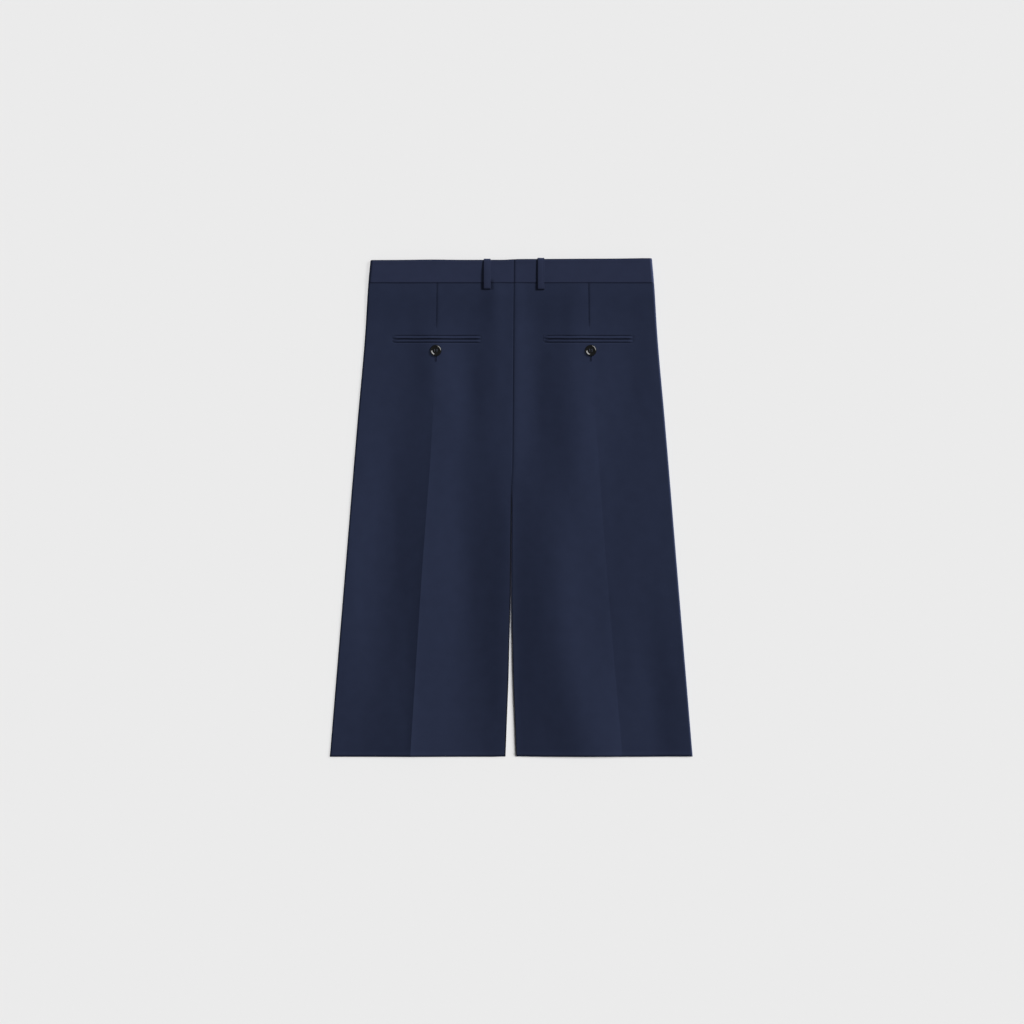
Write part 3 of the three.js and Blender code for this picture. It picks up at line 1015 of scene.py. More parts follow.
@dataclass
class LegPanels:
    """The four leg panels, back ones on top and front ones underneath."""

    cut: Cut
    relief: Relief
    cloth: float = 0.65
    hem_cloth: float = 1.5
    back_step: float = 3.6
    back_row: float = 1.3
    front_step: float = 7.0
    front_row: float = 1.2
    front_lift: float = 0.2
    front_crease: float = 0.3
    front_crease_wide: float = 1.2
    front_crease_start: tuple[float, float] = (120.0, 220.0)
    front_seam: float = 0.3
    front_seam_reach: float = 0.8
    seam_half: float = 0.12
    fold_turns: int = 8
    roll_steps: int = 12
    crisp: float = 0.0006
    outer_span: float = 105.0
    inner_span: float = 120.0
    crease_zone: float = 3.0
    edge_zone: float = 0.5
    loop_zones: tuple[tuple[float, float], ...] = ((71, 2.6), (84, 2.6))
    loop_end_zone: tuple[float, float] = (42.3, 2.2)
    hole_zone: tuple[float, float] = (138, 8.6)
    mouth_margin: float = 1.0
    hem_zone: tuple[float, float] = (684, 1.5)
    end_zones: dict[Face, tuple[float, float]] = field(
        default_factory=lambda: {Face.BACK: (2.0, 4.0), Face.FRONT: (1.0, 1.0)}
    )
    hem_edge_half: float = 0.5
    top_gap: float = 0.1
    level: float = 0.999
    hem_fall: float = 25.0
    least_room: float = 0.1

    def columns(self, s: Section, face: Face, side: Side, below: float) -> tuple[np.ndarray, ...]:
        """Places, heights and outward directions across one row of a panel.

        Args:
            s: The leg's section there.
            face: Back or front.
            side: Which leg.
            below: The row's distance below the waist edge.

        Returns:
            Arrays of x, z, and the outward direction's x and z.
        """
        up = face.value
        seam = self.seam_half / s.radius
        turn = np.linspace(seam, math.pi / 2, self.fold_turns + 1)
        fold_x = s.side - s.sign * s.radius * (1 - np.cos(turn))
        across = self.across(s, face)
        straight = s.rolled - s.turn * s.radius
        along = np.linspace(0, s.rolled, self.roll_steps + 1)[1:]
        angle = np.maximum(0, (along - straight) / s.radius)
        angle[-1] = max(0.0, angle[-1] - seam * s.turn / (math.pi / 2))
        turned = self.cut.roll_squeeze * s.radius * np.sin(angle)
        roll_x = s.roll_start - s.sign * (np.minimum(along, straight) + turned)
        x = np.concatenate([fold_x, across, roll_x])
        rise = np.concatenate([np.sin(turn), np.ones_like(across), np.cos(angle)])
        lift = self.relief.back(side, x, below) if face is Face.BACK else self.front_relief(s, x, below)
        z = s.middle + up * (s.radius + lift) * rise
        out_x = np.concatenate([s.sign * np.cos(turn), np.zeros_like(across), -s.sign * np.sin(angle)])
        return x, z, out_x, up * rise

    def front_relief(self, s: Section, x: np.ndarray, below: float) -> np.ndarray:
        """Height of the front's outside over its flat level, at the places x of one row."""
        pressed = self.front_crease * float(smoothstep(below, *self.front_crease_start))
        from_middle = np.abs(x - self.cut.centre(below))
        seam = self.front_seam * self.relief.sewn(below) * np.exp(-from_middle / self.front_seam_reach)
        return -self.front_lift - pressed * bell(x - s.crease, self.front_crease_wide) - seam

    def across(self, s: Section, face: Face) -> np.ndarray:
        """Places of the flat columns of one row, from the side fold to the inner edge."""
        outer, inner = self.shares(face)
        first = s.fold_start + (s.crease - s.fold_start) * outer
        second = s.crease + (s.roll_start - s.crease) * inner
        return np.concatenate([first[1:], second[1:]])

    def shares(self, face: Face) -> tuple[np.ndarray, np.ndarray]:
        """Shares of the way from fold to crease and from crease to inner edge, closer at the crease."""
        back = face is Face.BACK
        step = self.back_step if back else self.front_step
        reach = self.crease_zone if back else 0.0
        zones = self.loop_zones if back else ()
        edge = self.edge_zone
        outer = spread(((0, edge), (self.outer_span, reach)), step) / self.outer_span
        inner = spread(((0, reach), *zones, (self.inner_span, edge)), step) / self.inner_span
        if back:
            outer = np.insert(outer, -1, 1 - self.crisp)
            inner = np.insert(inner, 1, self.crisp)
        return outer, inner

    def rows(self, face: Face) -> list[float]:
        """Distances below the waist at which a panel has a row, closer at seams and hem."""
        cut = self.cut
        high, low = self.end_zones[face]
        top, hem = (cut.band_height + self.top_gap, high), (cut.length, low)
        if face is Face.FRONT:
            return spread((top, self.hem_zone, hem), self.front_step * self.front_row).tolist()
        mouth = (cut.pocket_mouth, cut.welt + self.mouth_margin)
        stops = (top, self.loop_end_zone, mouth, self.hole_zone, self.hem_zone, hem)
        return spread(stops, self.back_step * self.back_row).tolist()

    def panel(self, side: Side, face: Face, material: Material) -> Piece:
        """Builds one panel.

        Args:
            side: Which leg.
            face: Back or front.
            material: Its finish.

        Returns:
            The dressed panel.
        """
        cut = self.cut
        up = face.value
        hem_top = self.hem_zone[0]
        rows = ClothWall()
        for below in self.rows(face):
            s = cut.section(side, below)
            x, z, out_x, out_z = self.columns(s, face, side, below)
            turned_up = float(smoothstep(below, hem_top - self.hem_edge_half, hem_top + self.hem_edge_half))
            wall = self.cloth + (self.hem_cloth - self.cloth) * turned_up
            into_hem = float(smoothstep(below, cut.length - self.hem_fall, cut.length))
            y = cut.y(below) + into_hem * cut.hem_edge.along(x)
            flat = up * out_z > self.level
            lowest = np.where(flat, self.front_lift + wall + self.least_room - s.radius, self.least_room / 2)
            inside = np.maximum(up * (z - out_z * wall - s.middle), lowest)
            length = run(x, z)
            length = length - length[int(np.argmin(np.abs(x - s.crease)))]
            # Painted shade on the back panels only.
            shade = self.relief.shade(side, x, below) if face is Face.BACK else 1.0
            inner = grid_row(x - out_x * wall, y, s.middle + up * inside)
            rows.add(grid_row(x, y, z), inner, grid_row(length * side.value, y), shade)
        name = f"{face.name.lower()}_{side.word}"
        return dress(rows.build(name + "_panel"), material, "suiting", name)

    def declare(self, side: Side) -> None:
        """Works out one panel's flat size and the area of its cut, and keeps neither.

        Args:
            side: Which leg.
        """
        self.flat(side)
        self.area(side)

    def flat(self, side: Side) -> tuple[float, float]:
        """Width and length, in metres, of the rectangle that one panel's cut fills."""
        cut = self.cut
        widest = max(self.width(side, below) for below in (cut.band_height, cut.crotch, cut.length))
        return widest * MM, (cut.length - cut.band_height) * MM

    def width(self, side: Side, below: float) -> float:
        """Width of the cloth of one panel at one distance below the waist."""
        s = self.cut.section(side, below)
        return abs(s.fold_start - s.roll_start) + math.pi / 2 * s.radius + s.rolled

    def area(self, side: Side) -> float:
        """Area of one panel's cut, in square metres."""
        cut = self.cut
        belows = np.linspace(cut.band_height, cut.length, 60)
        widths = [self.width(side, float(below)) for below in belows]
        return float(np.trapz(widths, belows)) * MM * MM

    def build(self, material: Material) -> list[Piece]:
        """Builds all four panels."""
        return [self.panel(side, face, material) for face in (Face.FRONT, Face.BACK) for side in Side]


@dataclass
class Waistband:
    """The waistband's two halves, each wrapped round one side."""

    cut: Cut
    relief: Relief
    wall: float = 2.0
    step: float = 3.2
    turns: int = 14
    span: float = 200.0
    loop_zones: tuple[tuple[float, float], ...] = ((32, 2.2), (45, 2.2))
    seam_dip: dict[Side, float] = by_side(0.12, 0.8)
    seam_reach: float = 0.9
    # Painted shade along the centre seam, at the lower lip over the waist seam, and on the rounded top edge.
    seam_shade: float = 0.22
    seam_shade_reach: float = 0.6
    seam_shade_start: tuple[float, float] = (1.0, 4.0)
    edge_round: float = 1.1
    edge_shade: float = 0.5
    edge_shade_start: float = 0.5
    lip: float = 0.4
    lip_wide: float = 0.9
    lip_shade: float = 0.06
    lip_shade_wide: float = 0.5
    swell: float = 0.15
    swell_at: float = 3.2
    swell_wide: float = 1.6
    sway: float = 0.16
    sway_reach: float = 15.0
    row_step: float = 2.2
    row_zone: float = 1.6
    low_gap: float = 0.1
    unevenness: ClothGrain = ClothGrain(11, 46, 21)

    def rows(self) -> list[float]:
        """Distances below the waist edge, closer at both edges."""
        zone = self.row_zone
        return spread(((0, zone), (self.cut.band_height - self.low_gap, zone)), self.row_step).tolist()

    def inset(self, below: float) -> float:
        """How far the outside falls back towards each edge."""
        top = self.edge_round * (1 - math.sqrt(1 - (1 - min(1.0, below / self.edge_round)) ** 2))
        lip = self.lip * float(1 - smoothstep(self.cut.band_height - below, 0, self.lip_wide))
        return top + lip - self.swell * float(bell(below - self.swell_at, self.swell_wide))

    def shade(self, x: np.ndarray, below: float, up: np.ndarray) -> np.ndarray:
        """Painted shade: share of full colour at the places x of one row.

        Args:
            x: Places across the garment.
            below: The row's distance below the waist edge.
            up: True where the band's back faces up.

        Returns:
            The share at each place.
        """
        # Painted shade, with the loops' painted shadow where the band faces up.
        from_middle = np.abs(x - self.cut.centre(below))
        seam = self.seam_shade * np.exp(-from_middle / self.seam_shade_reach)
        dark = seam * float(smoothstep(below, *self.seam_shade_start))
        dark = dark + self.lip_shade * bell(self.cut.band_height - below, self.lip_shade_wide)
        dark = dark + self.edge_shade * float(1 - smoothstep(below, self.edge_shade_start, self.edge_round))
        return np.clip(1 - dark - self.relief.painted_loop_shadow(x, below) * up, 0.2, 1)

    def half(self, side: Side, material: Material) -> Piece:
        """Builds one half of the band.

        Args:
            side: Which half.
            material: Its finish.

        Returns:
            The dressed half.
        """
        cut = self.cut
        radius = cut.band_depth / 2
        middle = cut.band_floor + radius
        shares = spread(((0, 1.5), *self.loop_zones, (self.span, 0.5)), self.step) / self.span
        angles = np.linspace(math.pi / 2, -math.pi / 2, self.turns + 1)[1:-1]
        rows = ClothWall()
        for below in self.rows():
            centre = cut.centre(below)
            fold = side.value * (cut.half(below) - radius)
            straight = centre + (fold - centre) * shares
            x = np.concatenate([straight, fold + side.value * radius * np.cos(angles), straight[::-1]])
            out_x = np.concatenate([0 * straight, side.value * np.cos(angles), 0 * straight])
            out_z = np.concatenate([0 * straight + 1, np.sin(angles), 0 * straight - 1])
            z = middle + radius * out_z
            fall = self.inset(below) + self.seam_dip[side] * np.exp(-np.abs(x - centre) / self.seam_reach)
            up = out_z > 0.9
            from_fold = smoothstep(np.abs(x - fold), 0, self.sway_reach)
            sway = self.sway * self.unevenness(x, below) * up * from_fold
            y = cut.y(below) + cut.waist_edge.along(x) * (1 - below / cut.band_height)
            outer = grid_row(x - out_x * fall, y, z - out_z * (fall - sway))
            inner = grid_row(x - out_x * self.wall, y, z - out_z * self.wall)
            rows.add(outer, inner, grid_row(y, run(x, z) * side.value), self.shade(x, below, up))
        name = f"waistband_{side.word}"
        piece = dress(rows.build(name + "_cloth"), material, "band_suiting", name)
        long = 2 * (cut.half(cut.band_height / 2) + cut.band_depth / 4) * MM
        return piece

    def build(self, material: Material) -> list[Piece]:
        """Builds both halves."""
        return [self.half(side, material) for side in Side]


class LoopPlace(Enum):
    """Where a belt loop sits: name, face, and distance out, which the cut gives for the back pair."""

    BACK = ("belt_loop_back", Face.BACK, None)
    SIDE = ("belt_loop_side", Face.FRONT, 172.0)
    FRONT = ("belt_loop_front", Face.FRONT, 92.0)


@dataclass
class BeltLoops:
    """Six belt loops, sewn below the band and tucked in over the waist edge."""

    cut: Cut
    relief: Relief
    cloth: float = 1.1
    bow: float = 0.7
    wrap: float = 1.0
    back_rise: float = 0.45
    front_rise: float = -1.6
    gap: float = 0.3
    edge_round: float = 0.28
    # Painted shade on every loop's right edge, and on the left edge of the right back loop.
    edge_dim: float = 0.6
    right_loop_edge: float = 0.3
    fold_in: float = 1.7
    fold_deep: float = 0.12
    fold_wide: float = 0.35
    flat_in: float = 1.4
    bow_form: float = 0.8
    seated: float = 0.1
    turn_room: float = 0.25
    turned_in: float = 5.0
    edge_strip: float = 0.4

    def path(self, face: Face, side: Side, x: float) -> np.ndarray:
        """Middle line of a loop as rows of distance below the waist and height.

        Args:
            face: Back or front.
            side: Which side.
            x: The loop's place across the garment.

        Returns:
            Rows of below and height, from the tucked top end to the lower end.
        """
        cut = self.cut
        up = face.value
        half = self.cloth / 2
        low = cut.loop_low(side, face)
        rise = self.back_rise + cut.waist_edge(x) if face is Face.BACK else self.front_rise
        band_face = cut.band_floor + (cut.band_depth if face is Face.BACK else 0)
        start = cut.band_floor + cut.band_depth / 2 + up * self.wrap
        points = [(-rise - half, start + (band_face - start) * share) for share in np.linspace(0, 0.8, 4)]
        if face is Face.FRONT:
            level = band_face - self.gap - half
            points += [(below, level) for below in np.linspace(half - rise, low - half, 16)]
            return np.array(points)
        sewn = self.relief.back_top(x, low, smooth=True) + self.seated + half
        last = sewn + self.cloth + self.turn_room
        first = band_face + self.gap + half
        start = half - rise
        for share in np.linspace(0.0, 1, 26):
            bow = self.bow * math.sin(math.pi * share) ** self.bow_form
            level = first + (last - first) * share + bow
            points.append((start + share * (low - half - start), level))
        turn = (last - sewn) / 2
        for angle in np.linspace(0, math.pi, 7)[1:-1]:
            points.append((low - half + turn * math.sin(angle), sewn + turn + turn * math.cos(angle)))
        points += [(below, sewn) for below in np.linspace(low - half, low - self.turned_in, 4)]
        return np.array(points)

    def loop(self, place: LoopPlace, side: Side, material: Material) -> Piece:
        """Builds one loop as a soft-edged strip along its path.

        Args:
            place: Which pair it is of.
            side: Which side.
            material: Its finish.

        Returns:
            The dressed loop.
        """
        name, face, out = place.value
        x = self.cut.loop_middle(side, self.cut.loop_out[side] if out is None else out)
        path = self.path(face, side, x)
        step = unit(np.gradient(path, axis=0))
        outward = np.stack([-step[:, 1], step[:, 0]], axis=-1) * face.value
        length = run(*path.T)
        u, v = self.profile().T
        rings, uv = [], []
        for (below, z), (out_b, out_z), at in zip(path, outward, length):
            rings.append(grid_row(x + u, self.cut.y(below) - v * out_b, z + v * out_z))
            uv.append(grid_row(u + v, -at) * MM)
        # Painted shade on the loops' long edges.
        edge = self.cut.loop_wide / 2 - self.edge_strip
        painted_edge_shade = np.where(u > edge, self.edge_dim, 1.0)
        if (side, face) == (Side.RIGHT, Face.BACK):
            painted_edge_shade[u < -edge] = self.right_loop_edge
        shade = np.tile(painted_edge_shade, (len(rings), 1))
        piece = tube(f"{name}_{side.word}_cloth", np.array(rings), np.array(uv), shade)
        dress(piece, material, "band_suiting", f"{name}_{side.word}")
        return piece

    def profile(self) -> np.ndarray:
        """The strip's section: a flat oval with a fold line near each long edge."""
        half_w, half_t = self.cut.loop_wide / 2, self.cloth / 2
        r = self.edge_round
        corner = np.linspace(0, math.pi / 2, 4)
        quarter = np.stack([half_w - r + r * np.sin(corner), half_t - r + r * np.cos(corner)], axis=-1)
        middles = np.linspace(-half_w + self.flat_in, half_w - self.flat_in, 9)
        folds = self.fold_deep * bell(np.abs(middles) - half_w + self.fold_in, self.fold_wide)
        upper = np.concatenate([quarter[::-1] * (-1, 1), grid_row(middles, half_t - folds), quarter])
        return np.concatenate([upper, upper[::-1] * (1, -1)])

    def build(self, material: Material) -> list[Piece]:
        """Builds all six loops."""
        return [self.loop(place, side, material) for place in LoopPlace for side in Side]


@dataclass
class BackPockets:
    """Two double-welt pockets, each with a button and a vertical buttonhole."""

    cut: Cut
    relief: Relief
    step: float = 3.0
    end_zone: float = 2.0
    crown: float = 1.0
    sunk: float = 0.55
    slit: float = 1.3
    dive: float = 0.1
    dive_long: float = 6.0
    end_long: float = 9.0
    rows: int = 14
    slack_share: float = 0.4
    roll_start: float = 0.06
    upper_turn: float = 0.55
    least_rise: float = 0.1
    under: float = 0.05
    # Painted shade in each welt: at the slit and along its outer edge, of uneven strength.
    mouth_shade: float = 0.6
    mouth_upper: float = 0.08
    mouth_lower: float = 0.13
    upper_shade: tuple[float, float] = (0.75, 0.15)
    lower_shade: tuple[float, float] = (0.5, 0.12)
    shade_even: float = 0.85
    shade_uneven: float = 0.25
    unevenness: ClothGrain = ClothGrain(17, 19, 5)

    def welt(self, side: Side, level: int, material: Material) -> Piece:
        """Builds one welt, a soft roll laid along the mouth.

        Args:
            side: Which pocket.
            level: -1 for the welt above the mouth and 1 for the one below.
            material: Its finish.

        Returns:
            The dressed welt.
        """
        cut = self.cut
        upper = level < 0
        half = cut.pocket_wide / 2
        us = spread(((-half, self.end_zone), (half, self.end_zone)), self.step)
        x = cut.pocket_middle(side) + us
        from_end = half - np.abs(us)
        end_fall = smoothstep(from_end, 0.0, self.end_long)
        end_dive = self.dive * (1 - smoothstep(from_end, 0.0, self.dive_long))
        slack = self.slit / 2 * (1 + self.slack_share * self.unevenness(us, 7.0 * level))
        # Uneven strength of the welts' painted shade.
        patches = self.shade_uneven * self.unevenness(us * 0.6, 40.0 + 9.0 * level)
        uneven = (self.shade_even + patches) * end_fall
        mouth = self.mouth_upper if upper else self.mouth_lower
        amount, wide = self.upper_shade if upper else self.lower_shade
        rows = ClothWall()
        for share in np.linspace(0, 1, self.rows + 1):
            below = cut.pocket_mouth + level * (slack + share * (cut.welt - self.slit / 2))
            y = cut.high_y - below
            turned = share**self.upper_turn if upper else share
            roll = max(0.0, math.sin(math.pi * (self.roll_start + (1 - self.roll_start) * turned))) ** 0.5
            base, flat = (
                np.array([self.relief.back_top(float(at), float(b), smooth) for at, b in zip(x, below)])
                for smooth in (False, True)
            )
            stands = flat + (self.crown * roll - self.sunk) * end_fall
            high = np.maximum(stands, base + self.least_rise * end_fall) - end_dive
            # Painted shade at the slit and along the welt's outer edge.
            dark = self.mouth_shade * float(bell(share, mouth)) + amount * float(bell(1 - share, wide))
            inner = grid_row(x, y, np.minimum(base + self.under, high - self.under))
            rows.add(grid_row(x, y, high), inner, grid_row(x, y), np.clip(1 - dark * uneven, 0.2, 1))
        name = f"pocket_welt_{'upper' if level < 0 else 'lower'}_{side.word}"
        return dress(rows.build(name + "_cloth"), material, "suiting", name)

    def build(self, material: Material) -> list[Piece]:
        """Builds the four welts."""
        return [self.welt(side, level, material) for side in Side for level in (-1, 1)]


@dataclass
class PocketButtons:
    """Four-hole buttons with a raised rim round a dished face, sewn on with thread."""

    cut: Cut
    relief: Relief
    radius: float = 8.4
    high: float = 3.1
    lifted: float = 0.45
    hole: float = 0.8
    hole_out: float = 1.7
    hole_sides: int = 20
    sides: int = 64
    thread: float = 0.42
    thread_lift: float = 0.15
    thread_bow: float = 0.4

    def seat(self, side: Side) -> Vector:
        """Middle of a button's underside."""
        cut = self.cut
        x = cut.button_middle(side, cut.button_below)
        return Vector((x, cut.y(cut.button_below), self.relief.back_top(x, cut.button_below) + self.lifted))

    def outline(self) -> list[tuple[float, float]]:
        """Radius and height from the middle of the underside to the middle of the face."""
        shares = (
            (0.0, 0.0), (0.60, 0.0), (0.80, 0.04), (0.92, 0.12), (0.98, 0.22), (1.0, 0.33), (0.995, 0.46),
            (0.975, 0.6), (0.945, 0.72), (0.90, 0.84), (0.86, 0.92), (0.83, 0.97), (0.80, 1.0), (0.78, 0.995),
            (0.75, 0.95), (0.71, 0.875), (0.67, 0.80), (0.63, 0.73), (0.59, 0.68), (0.54, 0.66), (0.0, 0.66),
        )  # fmt: skip
        return [(r * self.radius, z * self.high) for r, z in shares]

    def button(self, side: Side, material: Material) -> Piece:
        """Builds one button.

        Args:
            side: Which pocket's button.
            material: Its finish.

        Returns:
            The dressed button.
        """
        seat = self.seat(side)
        angles = np.linspace(0, 2 * math.pi, self.sides, endpoint=False)
        outline = self.outline()
        points = [(0.0, 0.0, outline[0][1])]
        for r, z in outline[1:-1]:
            points += [(r * math.cos(a), r * math.sin(a), z) for a in angles]
        points.append((0.0, 0.0, outline[-1][1]))
        rings = 1 + np.arange((len(outline) - 2) * self.sides).reshape(-1, self.sides)
        after = np.roll(rings, -1, axis=1)
        faces = [(0, b, a) for a, b in zip(rings[0], after[0])]
        faces += np.stack([rings[:-1], after[:-1], after[1:], rings[1:]], axis=-1).reshape(-1, 4).tolist()
        faces += [(len(points) - 1, a, b) for a, b in zip(rings[-1], after[-1])]
        piece = mesh_object(f"button_{side.word}", np.array(points) + np.array(seat), faces)
        face_out(piece)
        self.drill(piece, seat)
        shade_smooth(piece, 35.0)
        return dress(piece, material, "button", f"pocket_button_{side.word}")

    def drill(self, piece: Piece, seat: Vector) -> None:
        """Cuts the four thread holes through a button."""
        for across, along in ((-1, -1), (-1, 1), (1, -1), (1, 1)):
            middle = seat + Vector((across * self.hole_out, along * self.hole_out, self.high / 2))
            size = {"radius": self.hole * MM, "depth": self.high * 3 * MM}
            bpy.ops.mesh.primitive_cylinder_add(vertices=self.hole_sides, location=middle * MM, **size)
            drill = bpy.context.object
            cutter = piece.modifiers.new("hole", "BOOLEAN")
            cutter.operation = "DIFFERENCE"
            cutter.solver = "EXACT"
            cutter.object = drill
            bake_modifiers(piece)
            bpy.data.objects.remove(drill)

    def strands(self, side: Side, material: Material) -> Piece:
        """Sews one button on with two strands, each up through one hole and down through the next.

        Args:
            side: Which pocket's button.
            material: The thread's finish.

        Returns:
            The dressed thread.
        """
        seat = np.array(self.seat(side))
        face = self.outline()[-1][1]
        angles = np.linspace(0, math.pi, 13)
        height = face + self.thread_lift + self.thread_bow * np.sin(angles)
        down = np.array([0, 0, -face - self.thread_bow])
        parts = []
        for across in (-1, 1):
            over = grid_row(across * self.hole_out, -self.hole_out * np.cos(angles), height)
            path = np.concatenate([over[:1] + down, over, over[-1:] + down]) + seat
            parts.append(cord(f"button_thread_{side.word}_{across}", path, self.thread))
        piece = joined(f"button_thread_{side.word}", parts)
        return dress(piece, material, "button")

    def build(self, resin: Material, thread: Material) -> list[Piece]:
        """Builds both buttons and the thread in them."""
        buttons = [self.button(side, resin) for side in Side]
        return buttons + [self.strands(side, thread) for side in Side]


def bake_modifiers(piece: Piece) -> None:
    """Applies a piece's modifiers to its mesh and removes them."""
    bpy.context.view_layer.update()
    done = bpy.data.meshes.new_from_object(piece.evaluated_get(bpy.context.evaluated_depsgraph_get()))
    old = piece.data
    piece.modifiers.clear()
    piece.data = done
    done.name = old.name
    bpy.data.meshes.remove(old)


@dataclass(frozen=True)
class Stitch:
    """Sizes of one kind of stitch, in millimetres, with its turn from the line in degrees."""

    long: float
    radius: float
    pitch: float
    turn: float = 0.0
    seed: int = 1


class StitchTree(NodeMaker):
    """Geometry nodes that lay one stitch after another along lines."""

    INPUTS = (
        ("Stitch length", "NodeSocketFloat"),
        ("Thread radius", "NodeSocketFloat"),
        ("Pitch", "NodeSocketFloat"),
        ("Turn", "NodeSocketFloat"),
        ("Seed", "NodeSocketInt"),
        ("Thread", "NodeSocketMaterial"),
    )
    SWAY = (-0.09, 0.09)
    GROWTH = (0.9, 1.06)
    FLATNESS = 0.8

    def __init__(self) -> None:
        """Builds the tree, used by every row of stitches."""
        super().__init__(bpy.data.node_groups.new("stitches", "GeometryNodeTree"))
        self.tree.interface.new_socket("Geometry", in_out="INPUT", socket_type="NodeSocketGeometry")
        self.tree.interface.new_socket("Geometry", in_out="OUTPUT", socket_type="NodeSocketGeometry")
        self.keys = {
            name: self.tree.interface.new_socket(name, in_out="INPUT", socket_type=kind).identifier
            for name, kind in self.INPUTS
        }
        given = self.node("NodeGroupInput").outputs
        line = self.node("GeometryNodeMeshToCurve", {"Mesh": given["Geometry"]}).outputs["Curve"]
        spaced = {"Curve": line, "Length": given["Pitch"]}
        points = self.node("GeometryNodeCurveToPoints", spaced, mode="LENGTH")
        ball = {"Segments": 8, "Rings": 5, "Radius": 1.0}
        stitch = self.node("GeometryNodeMeshUVSphere", ball).outputs["Mesh"]
        half = self.math("MULTIPLY", given["Stitch length"], 0.5)
        flat = self.math("MULTIPLY", given["Thread radius"], self.FLATNESS)
        sizes = {"X": half, "Y": given["Thread radius"], "Z": flat}
        size = self.node("ShaderNodeCombineXYZ", sizes).outputs[0]
        tangent = {"Vector": points.outputs["Tangent"]}
        along = self.node("FunctionNodeAlignRotationToVector", tangent, axis="X", pivot_axis="Z").outputs[0]
        turn = self.math("ADD", given["Turn"], self.random(self.SWAY, given["Seed"]))
        spin = self.node("ShaderNodeCombineXYZ", {"Z": turn}).outputs[0]
        own_turn = self.node("FunctionNodeEulerToRotation", {0: spin}).outputs[0]
        turns = {"Rotation": along, "Rotate By": own_turn}
        turned = self.node("FunctionNodeRotateRotation", turns, rotation_space="LOCAL").outputs[0]
        growth = {0: size, "Scale": self.random(self.GROWTH, given["Seed"])}
        scale = self.node("ShaderNodeVectorMath", growth, operation="SCALE").outputs[0]
        copies = {"Points": points.outputs["Points"], "Instance": stitch, "Rotation": turned, "Scale": scale}
        laid = self.node("GeometryNodeInstanceOnPoints", copies).outputs[0]
        real = self.node("GeometryNodeRealizeInstances", {0: laid}).outputs[0]
        smooth = self.node("GeometryNodeSetShadeSmooth", {0: real}).outputs[0]
        dyed = {"Geometry": smooth, "Material": given["Thread"]}
        self.node("NodeGroupOutput", {0: self.node("GeometryNodeSetMaterial", dyed).outputs[0]})

    def random(self, ends: tuple[float, float], seed: Socket) -> Socket:
        """A random number between two ends for each stitch."""
        values = {2: ends[0], 3: ends[1], "Seed": seed}
        return self.node("FunctionNodeRandomValue", values, data_type="FLOAT").outputs[1]

    def sew(self, name: str, lines: Sequence[np.ndarray], stitch: Stitch, material: Material) -> Piece:
        """Lays stitches along lines.

        Args:
            name: The piece's name.
            lines: Points of each line, in millimetres.
            stitch: The stitch's sizes.
            material: The thread's finish.

        Returns:
            The stitches as one plain mesh.
        """
        mesh = bpy.data.meshes.new(name)
        edges, first = [], 0
        for line in lines:
            edges += [(first + k, first + k + 1) for k in range(len(line) - 1)]
            first += len(line)
        mesh.from_pydata((np.concatenate(lines) * MM).tolist(), edges, [])
        piece = bpy.data.objects.new(name, mesh)
        bpy.context.scene.collection.objects.link(piece)
        modifier = piece.modifiers.new("stitches", "NODES")
        modifier.node_group = self.tree
        sizes = [size * MM for size in (stitch.long, stitch.radius, stitch.pitch)]
        values = (*sizes, math.radians(stitch.turn), stitch.seed, material)
        for (key, _), value in zip(self.INPUTS, values):
            modifier[self.keys[key]] = value
        bake_modifiers(piece)
        return piece


